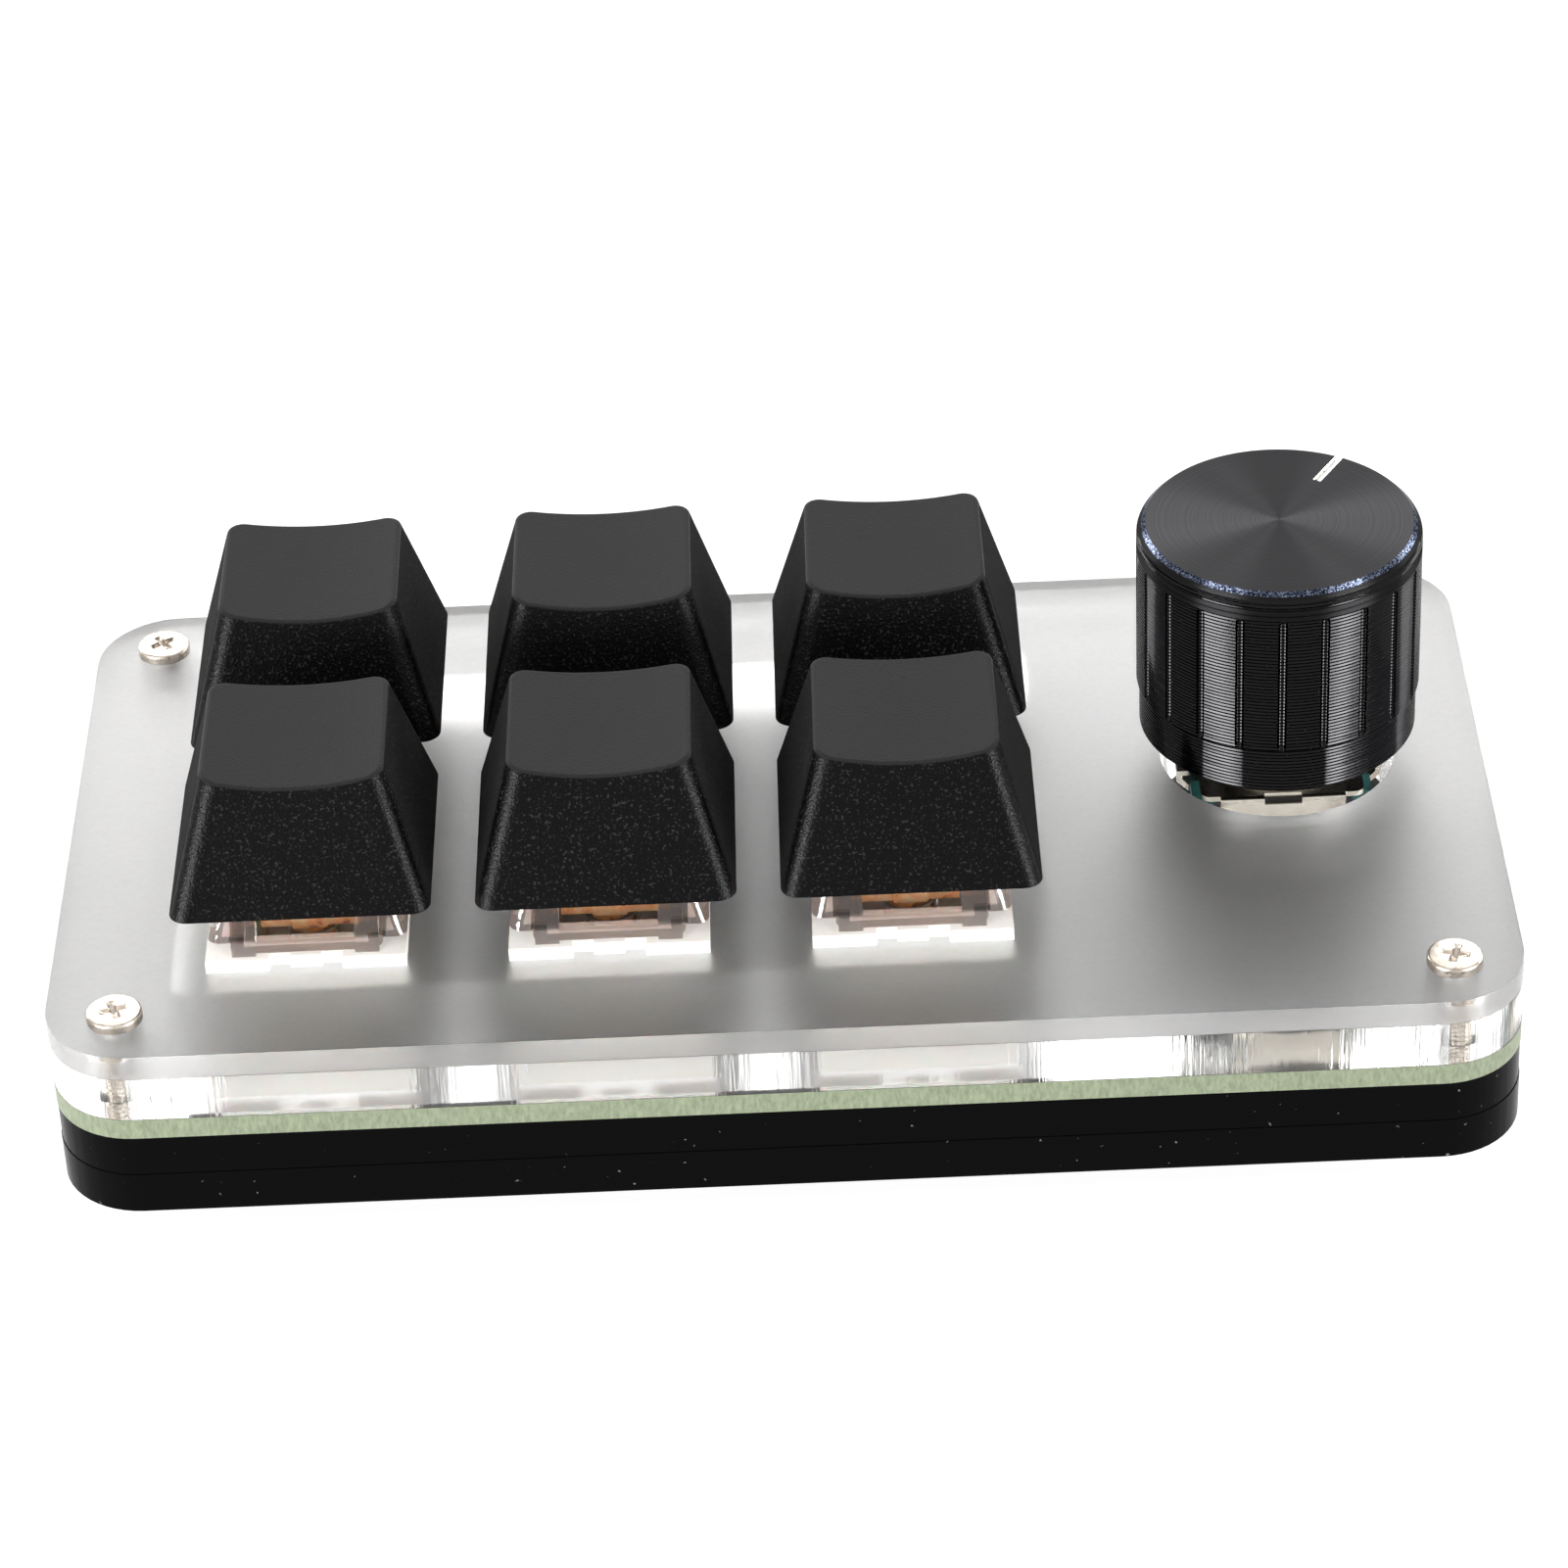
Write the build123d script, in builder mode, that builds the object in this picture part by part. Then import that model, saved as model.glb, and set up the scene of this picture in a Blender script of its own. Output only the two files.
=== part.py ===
from build123d import *
from math import cos, radians, sin, sqrt
import os

# Macro keypad: six mechanical keys and one pressable rotary knob on a layered acrylic case.
# Millimetres. +X runs along the length towards the knob, the user sits on the -Y side, and
# the floor under the rubber feet is Z = 0, with the origin under the middle of the case.

# --- driving dimensions ---------------------------------------------------------------

# Layout from left to right: side margin, key columns, knob axis, side margin.
KEY_COLUMNS = 3
KEY_ROWS = 2
KEY_PITCH = 21.15
KEY_SIDE_MARGIN = 17.95
KEY_TO_KNOB = 27.25
KNOB_SIDE_MARGIN = 14.8
KNOB_Y = 3.7

# Case plates: outline and the thickness of each layer, from the bottom up.
CASE_DEPTH = 55.4
CORNER_RADIUS = 6.0
FOOT_HEIGHT = 3.8
BASE_THICKNESS = 3.2
FRAME_THICKNESS = 3.2
FRAME_INSET = 0.05
BOARD_THICKNESS = 1.6
SPACER_THICKNESS = 3.5
PLATE_THICKNESS = 1.9

# Fasteners that clamp the layers: pan-head M2 screws with nuts under the base.
SCREW_END_INSET = 4.95
SCREW_SIDE_INSET = 4.6
SCREW_DIAMETER = 2.0
SCREW_HOLE = 2.4
SCREW_LENGTH = 16.0
SCREW_HEAD_DIAMETER = 3.9
SCREW_HEAD_HEIGHT = 0.8
SCREW_HEAD_EDGE = 0.15
RECESS_WIDTH = 0.55
RECESS_SPAN = 2.0
RECESS_DEPTH = 0.5
NUT_ACROSS_FLATS = 4.0
NUT_HEIGHT = 1.6
NUT_CLEARANCE = 0.03
FOOT_DIAMETER = 9.5
FOOT_INSET = 12.0
FOOT_TAPER = 12.0

# Room round the switches in the spacer, and how far a key goes down.
KEY_WINDOW_SIDE = 9.7
KEY_WINDOW_FRONT = 8.7
SPACER_WINDOW_RADIUS = 1.0
KEY_TRAVEL = 4.0

# Switch: white base in the plate, clear housing above it, amber stem between them.
SWITCH_BODY = 13.95
SWITCH_HOLE = 14.0
SWITCH_FLANGE = 15.6
SWITCH_FLANGE_FRONT = 14.0
SWITCH_TAB_LENGTH = 2.0
SWITCH_FLANGE_HEIGHT = 1.0
SWITCH_CAVITY = 11.0
SWITCH_FLOOR = 1.2
SWITCH_PEG_DIAMETER = 4.0
SWITCH_PEG_HOLE = 4.1
SWITCH_PEG_LENGTH = 3.3
PEG_BOTTOM_WALL = 0.3
LED_SLOT_WIDTH = 1.45
LED_TAB_WIDTH = 2.2
LED_SLOT_DEPTH = 0.7
LED_TAB_SETBACK = 0.35
HOUSING_BLOCK_WIDTH = 10.7
HOUSING_SETBACK = 1.3
HOUSING_TOP_LENGTH = 10.6
HOUSING_TOP_DEPTH = 9.2
HOUSING_TOP_BLOCK = 9.0
HOUSING_TOP_SETBACK = 0.5
HOUSING_HEIGHT = 5.6
HOUSING_ROOF = 1.0
HOUSING_WALL = 1.0
HOUSING_CORNER = 0.9
HOUSING_WINDOW = 6.9
HOUSING_WINDOW_SILL = 0.6
HOUSING_WINDOW_LINTEL = 1.2
HOUSING_OPENING_GAP = 0.25
CLIP_WIDTH = 1.7
CLIP_STANDOUT = 0.4

# Stem: slider, wings, spring cup, pole and the cross that carries the keycap.
STEM_LENGTH = 6.9
STEM_DEPTH = 5.4
STEM_RIB_WIDTH = 2.4
STEM_RIB_HEIGHT = 0.3
STEM_WING_LENGTH = 8.6
STEM_WING_DEPTH = 3.4
STEM_CLEARANCE = 0.3
STOP_GAP = 0.1
CROSS_LENGTH = 4.0
CROSS_HEIGHT = 3.6
CROSS_BAR_X = 1.27
CROSS_BAR_Y = 1.1
POLE_DIAMETER = 2.9
POLE_CLEARANCE = 0.15
SPRING_DIAMETER = 4.0
SPRING_WIRE = 0.3
SPRING_CUP_CLEARANCE = 0.25
SPRING_CUP_ROOF = 0.7

# Contact pins of a switch, as offsets from the key centre.
PIN_WIDTH = 1.0
PIN_THICKNESS = 0.3
PIN_LENGTH = 3.3
PIN_HOLE = 1.5
LEAF_WIDTH = 1.2
LEAF_TOP_GAP = 0.6
PIN_A = (-3.81, 2.54)
PIN_B = (2.54, 5.08)

# Keycap.
CAP_BASE = 18.1
CAP_BASE_RADIUS = 1.3
CAP_LIFT = 5.25
CAP_HEIGHT = 9.6
CAP_TOP_WIDTH = 12.6
CAP_TOP_DEPTH = 12.2
CAP_TOP_SHIFT = 0.8
CAP_TOP_RADIUS = 1.4
CAP_WALL = 1.5
CAP_ROOF = 1.6
CAP_DISH_SAG = 0.76
CAP_RIM_DROP_FRONT = 0.24
CAP_RIM_DROP_BACK = 0.04
CAP_RIM_RADIUS = 0.35
CAP_SOCKET_DIAMETER = 5.6
CAP_SOCKET_GAP = 0.1
CAP_CROSS_CLEARANCE = 0.02
CAP_CROSS_SPARE = 0.2

# Encoder under the knob.
ENCODER_HOLE = 17.0
ENCODER_LENGTH = 11.8
ENCODER_DEPTH = 11.7
ENCODER_HEIGHT = 5.15
ENCODER_FLOOR = 1.2
ENCODER_EAR_REACH = 1.0
ENCODER_EAR_WIDTH = 2.0
ENCODER_EAR_SPACING = 7.4
COVER_SHEET = 0.4
COVER_NOTCH_LENGTH = 1.4
COVER_NOTCH_DEPTH = 0.4
COVER_CORNER_RADIUS = 0.7
COVER_BEND_RADIUS = 0.35
COVER_SKIRT_RISE = 1.0
COVER_LUG_WIDTH = 4.0
COVER_LUG_STANDOUT = 1.5
COVER_LUG_DROP = 0.9
COVER_LEG_WIDTH = 2.1
COVER_LEG_LENGTH = 3.4
LEG_HOLE_CLEARANCE = 0.3
COVER_SLOT_WIDTH = 2.7
COVER_SLOT_REACH = 0.6
BUSHING_DIAMETER = 7.0
BUSHING_HEIGHT = 5.0
BUSHING_FLANGE_DIAMETER = 9.2
BUSHING_FLANGE_HEIGHT = 0.5
SHAFT_DIAMETER = 6.0
SHAFT_LENGTH = 15.0
SHAFT_FLAT_LENGTH = 10.0
SHAFT_FLAT_DEPTH = 1.5
SHAFT_KEY_DIAMETER = 5.0
SHAFT_KEY_ACROSS = 3.8
SHAFT_CLEARANCE = 0.05
ROTOR_DIAMETER = 8.4
ROTOR_HUB_DIAMETER = 6.8
ROTOR_HUB_HEIGHT = 1.6
ROTOR_THICKNESS = 1.4
ROTOR_GAP = 0.15
ROTOR_SIDE_GAP = 0.3
KNOB_PRESS = 0.5
PRESS_SPARE = 0.05
DOME_DIAMETER = 3.6
DOME_HEIGHT = 0.3
TERMINAL_WIDTH = 0.8
TERMINAL_THICKNESS = 0.3
TERMINAL_RISE = 0.3
TERMINAL_TAIL = 0.6
TERMINAL_PITCH = 2.5
TERMINAL_HOLE = 1.1
TERMINAL_ROW_Y = 7.2

# Knob, turned from bar.
KNOB_GAP = 3.0
KNOB_HEIGHT = 16.7
KNOB_SKIRT_RADIUS = 9.95
KNOB_SKIRT_HEIGHT = 3.5
KNOB_SKIRT_EDGE = 0.25
KNOB_BODY_RADIUS = 10.15
KNOB_GROOVE_WIDTH = 0.2
KNOB_GROOVE_DEPTH = 0.35
KNOB_SHOULDER_RADIUS = 9.8
KNOB_SHOULDER_HEIGHT = 0.8
KNOB_CHAMFER = 0.3
KNOB_RING_PITCH = 0.45
KNOB_RING_DEPTH = 0.15
KNOB_RING_COUNT = 2
FLUTE_COUNT = 21
FLUTE_WIDTH = 0.65
FLUTE_DEPTH = 0.3
FLUTE_LENGTH = 10.9
FLUTE_PHASE = -93.5
KNOB_WALL = 2.0
KNOB_HUB_DIAMETER = 10.4
KNOB_HOLLOW_DEPTH = 8.0
KNOB_COUNTERBORE = 7.6
KNOB_COUNTERBORE_DEPTH = 5.2
KNOB_BORE_CLEARANCE = 0.02
KNOB_BORE_SPARE = 0.3
MARK_ANGLE = 58.0
MARK_START = 5.9
MARK_WIDTH = 0.6
MARK_DEPTH = 0.3
SET_SCREW_DIAMETER = 3.0
SET_SCREW_LENGTH = 8.0
SET_SCREW_RISE = 10.0
SET_SCREW_HOLE = 3.1
SET_SCREW_SOCKET = 1.5
SET_SCREW_SOCKET_DEPTH = 1.2

# Parts on the underside of the circuit board.
USB_WIDTH = 8.94
USB_HEIGHT = 3.1
USB_DEPTH = 7.3
USB_RADIUS = 1.4
USB_SHELL = 0.3
USB_TONGUE_WIDTH = 6.7
USB_TONGUE_HEIGHT = 0.7
USB_TONGUE_INSET = 0.8
USB_BACK = 0.5
USB_X = 0.0
USB_CLEARANCE = 0.4
CHIP_SIZE = 7.0
CHIP_HEIGHT = 1.0
DIODE_LENGTH = 2.7
DIODE_WIDTH = 1.6
DIODE_HEIGHT = 1.1
DIODE_OFFSET = (-7.6, -5.0)
CRYSTAL_LENGTH = 3.2
CRYSTAL_WIDTH = 2.5
CRYSTAL_HEIGHT = 0.8
CRYSTAL_GAP = 1.5
FRAME_RIM = 7.5
FRAME_POCKET_RADIUS = 2.0
FRAME_BOSS_RADIUS = 5.0
FRAME_LEG_ROOM = 0.9

# --- levels and places that follow from them -------------------------------------------

BASE_Z = FOOT_HEIGHT
FRAME_Z = BASE_Z + BASE_THICKNESS
BOARD_Z = FRAME_Z + FRAME_THICKNESS
SPACER_Z = BOARD_Z + BOARD_THICKNESS
PLATE_Z = SPACER_Z + SPACER_THICKNESS
TOP_Z = PLATE_Z + PLATE_THICKNESS

CASE_LENGTH = KEY_SIDE_MARGIN + KEY_PITCH * (KEY_COLUMNS - 1) + KEY_TO_KNOB + KNOB_SIDE_MARGIN
KNOB_X = CASE_LENGTH / 2 - KNOB_SIDE_MARGIN
SCREW_X = CASE_LENGTH / 2 - SCREW_END_INSET
SCREW_Y = CASE_DEPTH / 2 - SCREW_SIDE_INSET
SCREW_PLACES = [
    Location((side * SCREW_X, face * SCREW_Y, TOP_Z)) for side in (-1, 1) for face in (-1, 1)
]
FOOT_X = CASE_LENGTH / 2 - FOOT_INSET
FOOT_Y = CASE_DEPTH / 2 - FOOT_INSET

KEY_FIRST_X = -CASE_LENGTH / 2 + KEY_SIDE_MARGIN
KEY_MIDDLE_X = KEY_FIRST_X + KEY_PITCH * (KEY_COLUMNS - 1) / 2
KEY_CENTRES = [
    (KEY_FIRST_X + KEY_PITCH * column, KEY_PITCH * (row - (KEY_ROWS - 1) / 2))
    for row in range(KEY_ROWS)
    for column in range(KEY_COLUMNS)
]
CHIP_X = KEY_MIDDLE_X + KEY_PITCH / 2
KEY_WINDOW_LENGTH = KEY_PITCH * (KEY_COLUMNS - 1) + 2 * KEY_WINDOW_SIDE
KEY_WINDOW_DEPTH = KEY_PITCH * (KEY_ROWS - 1) + 2 * KEY_WINDOW_FRONT

# Switch and stem levels. The stem stops one clearance above the floor when pressed.
SWITCH_FLOOR_Z = SPACER_Z + SWITCH_FLOOR
HOUSING_Z = TOP_Z + SWITCH_FLANGE_HEIGHT
HOUSING_TOP_Z = HOUSING_Z + HOUSING_HEIGHT
HOUSING_ROOF_Z = HOUSING_TOP_Z - HOUSING_ROOF
WINDOW_SILL_Z = HOUSING_Z + HOUSING_WINDOW_SILL
WINDOW_TOP_Z = HOUSING_TOP_Z - HOUSING_WINDOW_LINTEL
OPENING_DEPTH = STEM_DEPTH + 2 * STEM_RIB_HEIGHT + 2 * HOUSING_OPENING_GAP
STEM_Z = SWITCH_FLOOR_Z + KEY_TRAVEL + STEM_CLEARANCE
SPRING_TOP_Z = HOUSING_TOP_Z - SPRING_CUP_ROOF

# Keycap levels, and the tilted plane across which the finger dish is cut.
CAP_Z = TOP_Z + CAP_LIFT
CAP_TOP_Z = CAP_Z + CAP_HEIGHT
CAP_SOCKET_Z = HOUSING_TOP_Z + CAP_SOCKET_GAP
DISH_RADIUS = ((CAP_TOP_WIDTH / 2) ** 2 + CAP_DISH_SAG**2) / (2 * CAP_DISH_SAG)
DISH_MIDDLE_Z = CAP_TOP_Z - (CAP_RIM_DROP_FRONT + CAP_RIM_DROP_BACK) / 2 - CAP_DISH_SAG
DISH_PLANE = Plane(
    origin=(0, CAP_TOP_SHIFT, DISH_MIDDLE_Z + DISH_RADIUS),
    x_dir=(1, 0, 0),
    z_dir=(0, CAP_TOP_DEPTH, CAP_RIM_DROP_FRONT - CAP_RIM_DROP_BACK),
)
CAP_ROOF_Z = DISH_MIDDLE_Z - CAP_ROOF

# Encoder levels, from the board up to the shaft end.
COVER_TOP_Z = SPACER_Z + ENCODER_HEIGHT
COVER_UNDER_Z = COVER_TOP_Z - COVER_SHEET
COVER_LUG_Z = COVER_TOP_Z - COVER_LUG_DROP
COVER_LUG_X = ENCODER_LENGTH / 2 + COVER_LUG_STANDOUT
COVER_MITRE = COVER_SHEET * (sqrt(2) - 1)
COVER_SKIRT_LENGTH = ENCODER_LENGTH - 2 * COVER_NOTCH_LENGTH
ENCODER_FLOOR_Z = SPACER_Z + ENCODER_FLOOR
ROTOR_Z = COVER_UNDER_Z - ROTOR_GAP - ROTOR_THICKNESS
SHAFT_Z = ENCODER_FLOOR_Z + DOME_HEIGHT + KNOB_PRESS + PRESS_SPARE
SHAFT_JOURNAL_Z = ROTOR_Z + ROTOR_THICKNESS + KNOB_PRESS + PRESS_SPARE
SHAFT_TOP_Z = COVER_TOP_Z + SHAFT_LENGTH
LEG_SLOT_LENGTH = COVER_LEG_WIDTH + 2 * LEG_HOLE_CLEARANCE
LEG_SLOT_WIDTH = COVER_SHEET + 2 * LEG_HOLE_CLEARANCE

# Knob levels and radii.
KNOB_Z = TOP_Z + KNOB_GAP
KNOB_TOP_Z = KNOB_Z + KNOB_HEIGHT
KNOB_GROOVE_Z = KNOB_Z + KNOB_SKIRT_HEIGHT
KNOB_SHOULDER_Z = KNOB_TOP_Z - KNOB_CHAMFER - KNOB_SHOULDER_HEIGHT
KNOB_HOLLOW_Z = KNOB_Z + KNOB_HOLLOW_DEPTH
KNOB_HUB_RADIUS = KNOB_HUB_DIAMETER / 2
KNOB_BORE_RADIUS = SHAFT_DIAMETER / 2 + KNOB_BORE_CLEARANCE
KNOB_BORE_Z = SHAFT_TOP_Z + KNOB_BORE_SPARE
FLUTE_Z = KNOB_GROOVE_Z + KNOB_GROOVE_WIDTH
FLUTE_CUTTER_RADIUS = ((FLUTE_WIDTH / 2) ** 2 + FLUTE_DEPTH**2) / (2 * FLUTE_DEPTH)
FLUTE_AXIS_RADIUS = KNOB_BODY_RADIUS + FLUTE_CUTTER_RADIUS - FLUTE_DEPTH
SET_SCREW_PLANE = Plane(
    origin=(KNOB_X, KNOB_Y, KNOB_Z + SET_SCREW_RISE),
    z_dir=(cos(radians(MARK_ANGLE)), sin(radians(MARK_ANGLE)), 0),
)

SEATED = (Align.CENTER, Align.CENTER, Align.MIN)
HANGING = (Align.CENTER, Align.CENTER, Align.MAX)

os.makedirs("parts", exist_ok=True)


def keep(sub_part, name):
    """Label a finished sub-part and write it as one STEP file."""
    sub_part.part.label = name
    export_step(sub_part.part, f"parts/{name}.step")


def pin_sections(width):
    """Sections of the two contacts of a switch, the first one turned across the second."""
    with Locations(PIN_A):
        Rectangle(PIN_THICKNESS, width)
    with Locations(PIN_B):
        Rectangle(width, PIN_THICKNESS)


def cross_section(clearance):
    """The cross on the stem, or its socket when it is given a clearance on every side."""
    Rectangle(CROSS_LENGTH + 2 * clearance, CROSS_BAR_Y + 2 * clearance)
    Rectangle(CROSS_BAR_X + 2 * clearance, CROSS_LENGTH + 2 * clearance)


def shaft_key(clearance):
    """Round section with two flats, in line with the flat at the knob end of the shaft."""
    Circle(SHAFT_KEY_DIAMETER / 2 + clearance)
    Rectangle(
        SHAFT_KEY_ACROSS + 2 * clearance,
        SHAFT_KEY_DIAMETER + 2 * clearance,
        rotation=MARK_ANGLE,
        mode=Mode.INTERSECT,
    )


def turned(radius):
    """Place at a radius from the knob's axis in the direction of its pointer mark."""
    angle = radians(MARK_ANGLE)
    return Location((radius * cos(angle), radius * sin(angle), 0), (0, 0, MARK_ANGLE))


def ring_points():
    """Corners of the turned V grooves above the flutes, from the lowest up."""
    points = []
    for ring in range(KNOB_RING_COUNT):
        start = FLUTE_Z + FLUTE_LENGTH + KNOB_RING_PITCH * ring
        points.append((KNOB_BODY_RADIUS, start))
        points.append((KNOB_BODY_RADIUS - KNOB_RING_DEPTH, start + KNOB_RING_PITCH / 2))
    points.append((KNOB_BODY_RADIUS, FLUTE_Z + FLUTE_LENGTH + KNOB_RING_PITCH * KNOB_RING_COUNT))
    return points


# --- layered case -----------------------------------------------------------------------


def plate_blank(inset=0):
    """Outline that every layer of the case is cut to, smaller all round by an inset."""
    RectangleRounded(CASE_LENGTH - 2 * inset, CASE_DEPTH - 2 * inset, CORNER_RADIUS - inset)


def screw_holes():
    """The four clearance holes shared by every layer."""
    with GridLocations(2 * SCREW_X, 2 * SCREW_Y, 2, 2):
        Circle(SCREW_HOLE / 2, mode=Mode.SUBTRACT)


with BuildPart() as base_plate:
    with BuildSketch(Plane.XY.offset(BASE_Z)):
        plate_blank()
        screw_holes()
    extrude(amount=BASE_THICKNESS)
keep(base_plate, "base_plate")

# The frame is a rim with a boss round each screw, set back a little from the other layers. The
# rear wall has a gap for the USB socket, and the pocket leaves room round the encoder's legs.
with BuildPart() as case_frame:
    with BuildSketch(Plane.XY.offset(FRAME_Z)):
        plate_blank(FRAME_INSET)
        screw_holes()
    extrude(amount=FRAME_THICKNESS)
    with BuildSketch(Plane.XY.offset(FRAME_Z)):
        RectangleRounded(CASE_LENGTH - 2 * FRAME_RIM, CASE_DEPTH - 2 * FRAME_RIM, FRAME_POCKET_RADIUS)
        with GridLocations(2 * SCREW_X, 2 * SCREW_Y, 2, 2):
            Circle(FRAME_BOSS_RADIUS, mode=Mode.SUBTRACT)
        with Locations((USB_X, CASE_DEPTH / 2)):
            Rectangle(USB_WIDTH + 2 * USB_CLEARANCE, 2 * FRAME_RIM + USB_CLEARANCE)
        with Locations((KNOB_X, KNOB_Y)):
            Rectangle(ENCODER_LENGTH + 2 * FRAME_LEG_ROOM, 2 * (TERMINAL_ROW_Y + FRAME_LEG_ROOM))
    extrude(amount=FRAME_THICKNESS, mode=Mode.SUBTRACT)
keep(case_frame, "case_frame")

with BuildPart() as circuit_board:
    with BuildSketch(Plane.XY.offset(BOARD_Z)):
        plate_blank()
        screw_holes()
        with Locations(*KEY_CENTRES):
            Circle(SWITCH_PEG_HOLE / 2, mode=Mode.SUBTRACT)
            with Locations(PIN_A, PIN_B):
                Circle(PIN_HOLE / 2, mode=Mode.SUBTRACT)
        with Locations((KNOB_X, KNOB_Y)):
            with GridLocations(ENCODER_LENGTH - COVER_SHEET, 0, 2, 1):
                SlotOverall(LEG_SLOT_LENGTH, LEG_SLOT_WIDTH, rotation=90, mode=Mode.SUBTRACT)
            with Locations((0, -TERMINAL_ROW_Y)):
                with GridLocations(TERMINAL_PITCH, 0, 3, 1):
                    Circle(TERMINAL_HOLE / 2, mode=Mode.SUBTRACT)
            with Locations((0, TERMINAL_ROW_Y)):
                with GridLocations(2 * TERMINAL_PITCH, 0, 2, 1):
                    Circle(TERMINAL_HOLE / 2, mode=Mode.SUBTRACT)
    extrude(amount=BOARD_THICKNESS)
keep(circuit_board, "circuit_board")

# One window clears all six switches and another clears the encoder.
with BuildPart() as spacer_plate:
    with BuildSketch(Plane.XY.offset(SPACER_Z)):
        plate_blank()
        screw_holes()
        with Locations((KEY_MIDDLE_X, 0)):
            RectangleRounded(KEY_WINDOW_LENGTH, KEY_WINDOW_DEPTH, SPACER_WINDOW_RADIUS, mode=Mode.SUBTRACT)
        with Locations((KNOB_X, KNOB_Y)):
            Circle(ENCODER_HOLE / 2, mode=Mode.SUBTRACT)
    extrude(amount=SPACER_THICKNESS)
keep(spacer_plate, "spacer_plate")

with BuildPart() as top_plate:
    with BuildSketch(Plane.XY.offset(PLATE_Z)):
        plate_blank()
        screw_holes()
        with Locations(*KEY_CENTRES):
            Rectangle(SWITCH_HOLE, SWITCH_HOLE, mode=Mode.SUBTRACT)
        with Locations((KNOB_X, KNOB_Y)):
            Circle(ENCODER_HOLE / 2, mode=Mode.SUBTRACT)
    extrude(amount=PLATE_THICKNESS)
keep(top_plate, "top_plate")

# Self-adhesive feet: wide at the glued face, narrower on the desk.
with BuildPart() as rubber_feet:
    with BuildSketch(Plane(origin=(0, 0, FOOT_HEIGHT), z_dir=(0, 0, -1))):
        with GridLocations(2 * FOOT_X, 2 * FOOT_Y, 2, 2):
            Circle(FOOT_DIAMETER / 2)
    extrude(amount=FOOT_HEIGHT, taper=FOOT_TAPER)
keep(rubber_feet, "rubber_feet")

# --- fasteners --------------------------------------------------------------------------

# A flat-topped pan head with a cross recess, and a plain shank through the whole stack.
with BuildPart() as case_screws:
    with Locations(*SCREW_PLACES):
        Cylinder(SCREW_HEAD_DIAMETER / 2, SCREW_HEAD_HEIGHT, align=SEATED)
        Cylinder(SCREW_DIAMETER / 2, SCREW_LENGTH, align=HANGING)
    fillet(
        case_screws.edges().filter_by(GeomType.CIRCLE).group_by(Axis.Z)[-1],
        radius=SCREW_HEAD_EDGE,
    )
    with Locations(*[place * Location((0, 0, SCREW_HEAD_HEIGHT)) for place in SCREW_PLACES]):
        Box(RECESS_SPAN, RECESS_WIDTH, RECESS_DEPTH, align=HANGING, mode=Mode.SUBTRACT)
        Box(RECESS_WIDTH, RECESS_SPAN, RECESS_DEPTH, align=HANGING, mode=Mode.SUBTRACT)
keep(case_screws, "case_screws")

with BuildPart() as case_nuts:
    with BuildSketch(Plane.XY.offset(BASE_Z)):
        with GridLocations(2 * SCREW_X, 2 * SCREW_Y, 2, 2):
            RegularPolygon(NUT_ACROSS_FLATS / 2, 6, major_radius=False)
            Circle(SCREW_DIAMETER / 2 + NUT_CLEARANCE, mode=Mode.SUBTRACT)
    extrude(amount=-NUT_HEIGHT)
keep(case_nuts, "case_nuts")

# --- one switch, built round the Z axis and copied to every key place -------------------

# White lower housing: body in the plate hole, flange on the plate, peg through the board.
with BuildPart() as switch_base:
    with BuildSketch(Plane.XY.offset(SPACER_Z)):
        Rectangle(SWITCH_BODY, SWITCH_BODY)
    extrude(amount=TOP_Z - SPACER_Z)
    with BuildSketch(Plane.XY.offset(TOP_Z)):
        Rectangle(SWITCH_FLANGE, SWITCH_TAB_LENGTH)
        Rectangle(SWITCH_FLANGE_FRONT, SWITCH_FLANGE)
        with Locations((0, LED_SLOT_DEPTH / 2 - SWITCH_FLANGE / 2)):
            with GridLocations(LED_TAB_WIDTH + LED_SLOT_WIDTH, 0, 2, 1):
                Rectangle(LED_SLOT_WIDTH, LED_SLOT_DEPTH, mode=Mode.SUBTRACT)
        with Locations((0, LED_TAB_SETBACK / 2 - SWITCH_FLANGE / 2)):
            Rectangle(LED_TAB_WIDTH, LED_TAB_SETBACK, mode=Mode.SUBTRACT)
    extrude(amount=SWITCH_FLANGE_HEIGHT)
    with BuildSketch(Plane.XY.offset(SWITCH_FLOOR_Z)):
        Rectangle(SWITCH_CAVITY, SWITCH_CAVITY)
    extrude(amount=HOUSING_Z - SWITCH_FLOOR_Z, mode=Mode.SUBTRACT)
    with BuildSketch(Plane.XY.offset(SPACER_Z)):
        Circle(SWITCH_PEG_DIAMETER / 2)
    extrude(amount=-SWITCH_PEG_LENGTH)
    with BuildSketch(Plane.XY.offset(SWITCH_FLOOR_Z)):
        Circle(POLE_DIAMETER / 2 + POLE_CLEARANCE)
    extrude(amount=PEG_BOTTOM_WALL - SWITCH_PEG_LENGTH - SWITCH_FLOOR, mode=Mode.SUBTRACT)
    with BuildSketch(Plane.XY.offset(SPACER_Z)):
        pin_sections(PIN_WIDTH)
    extrude(amount=SWITCH_FLOOR, mode=Mode.SUBTRACT)

# Two spring contacts: a leaf in the housing and a solder pin through the floor and the board.
with BuildPart() as switch_contacts:
    with BuildSketch(Plane.XY.offset(SPACER_Z - PIN_LENGTH)):
        pin_sections(PIN_WIDTH)
    extrude(amount=PIN_LENGTH + SWITCH_FLOOR)
    with BuildSketch(Plane.XY.offset(SWITCH_FLOOR_Z)):
        pin_sections(LEAF_WIDTH)
    extrude(amount=HOUSING_Z - LEAF_TOP_GAP - SWITCH_FLOOR_Z)


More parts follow.
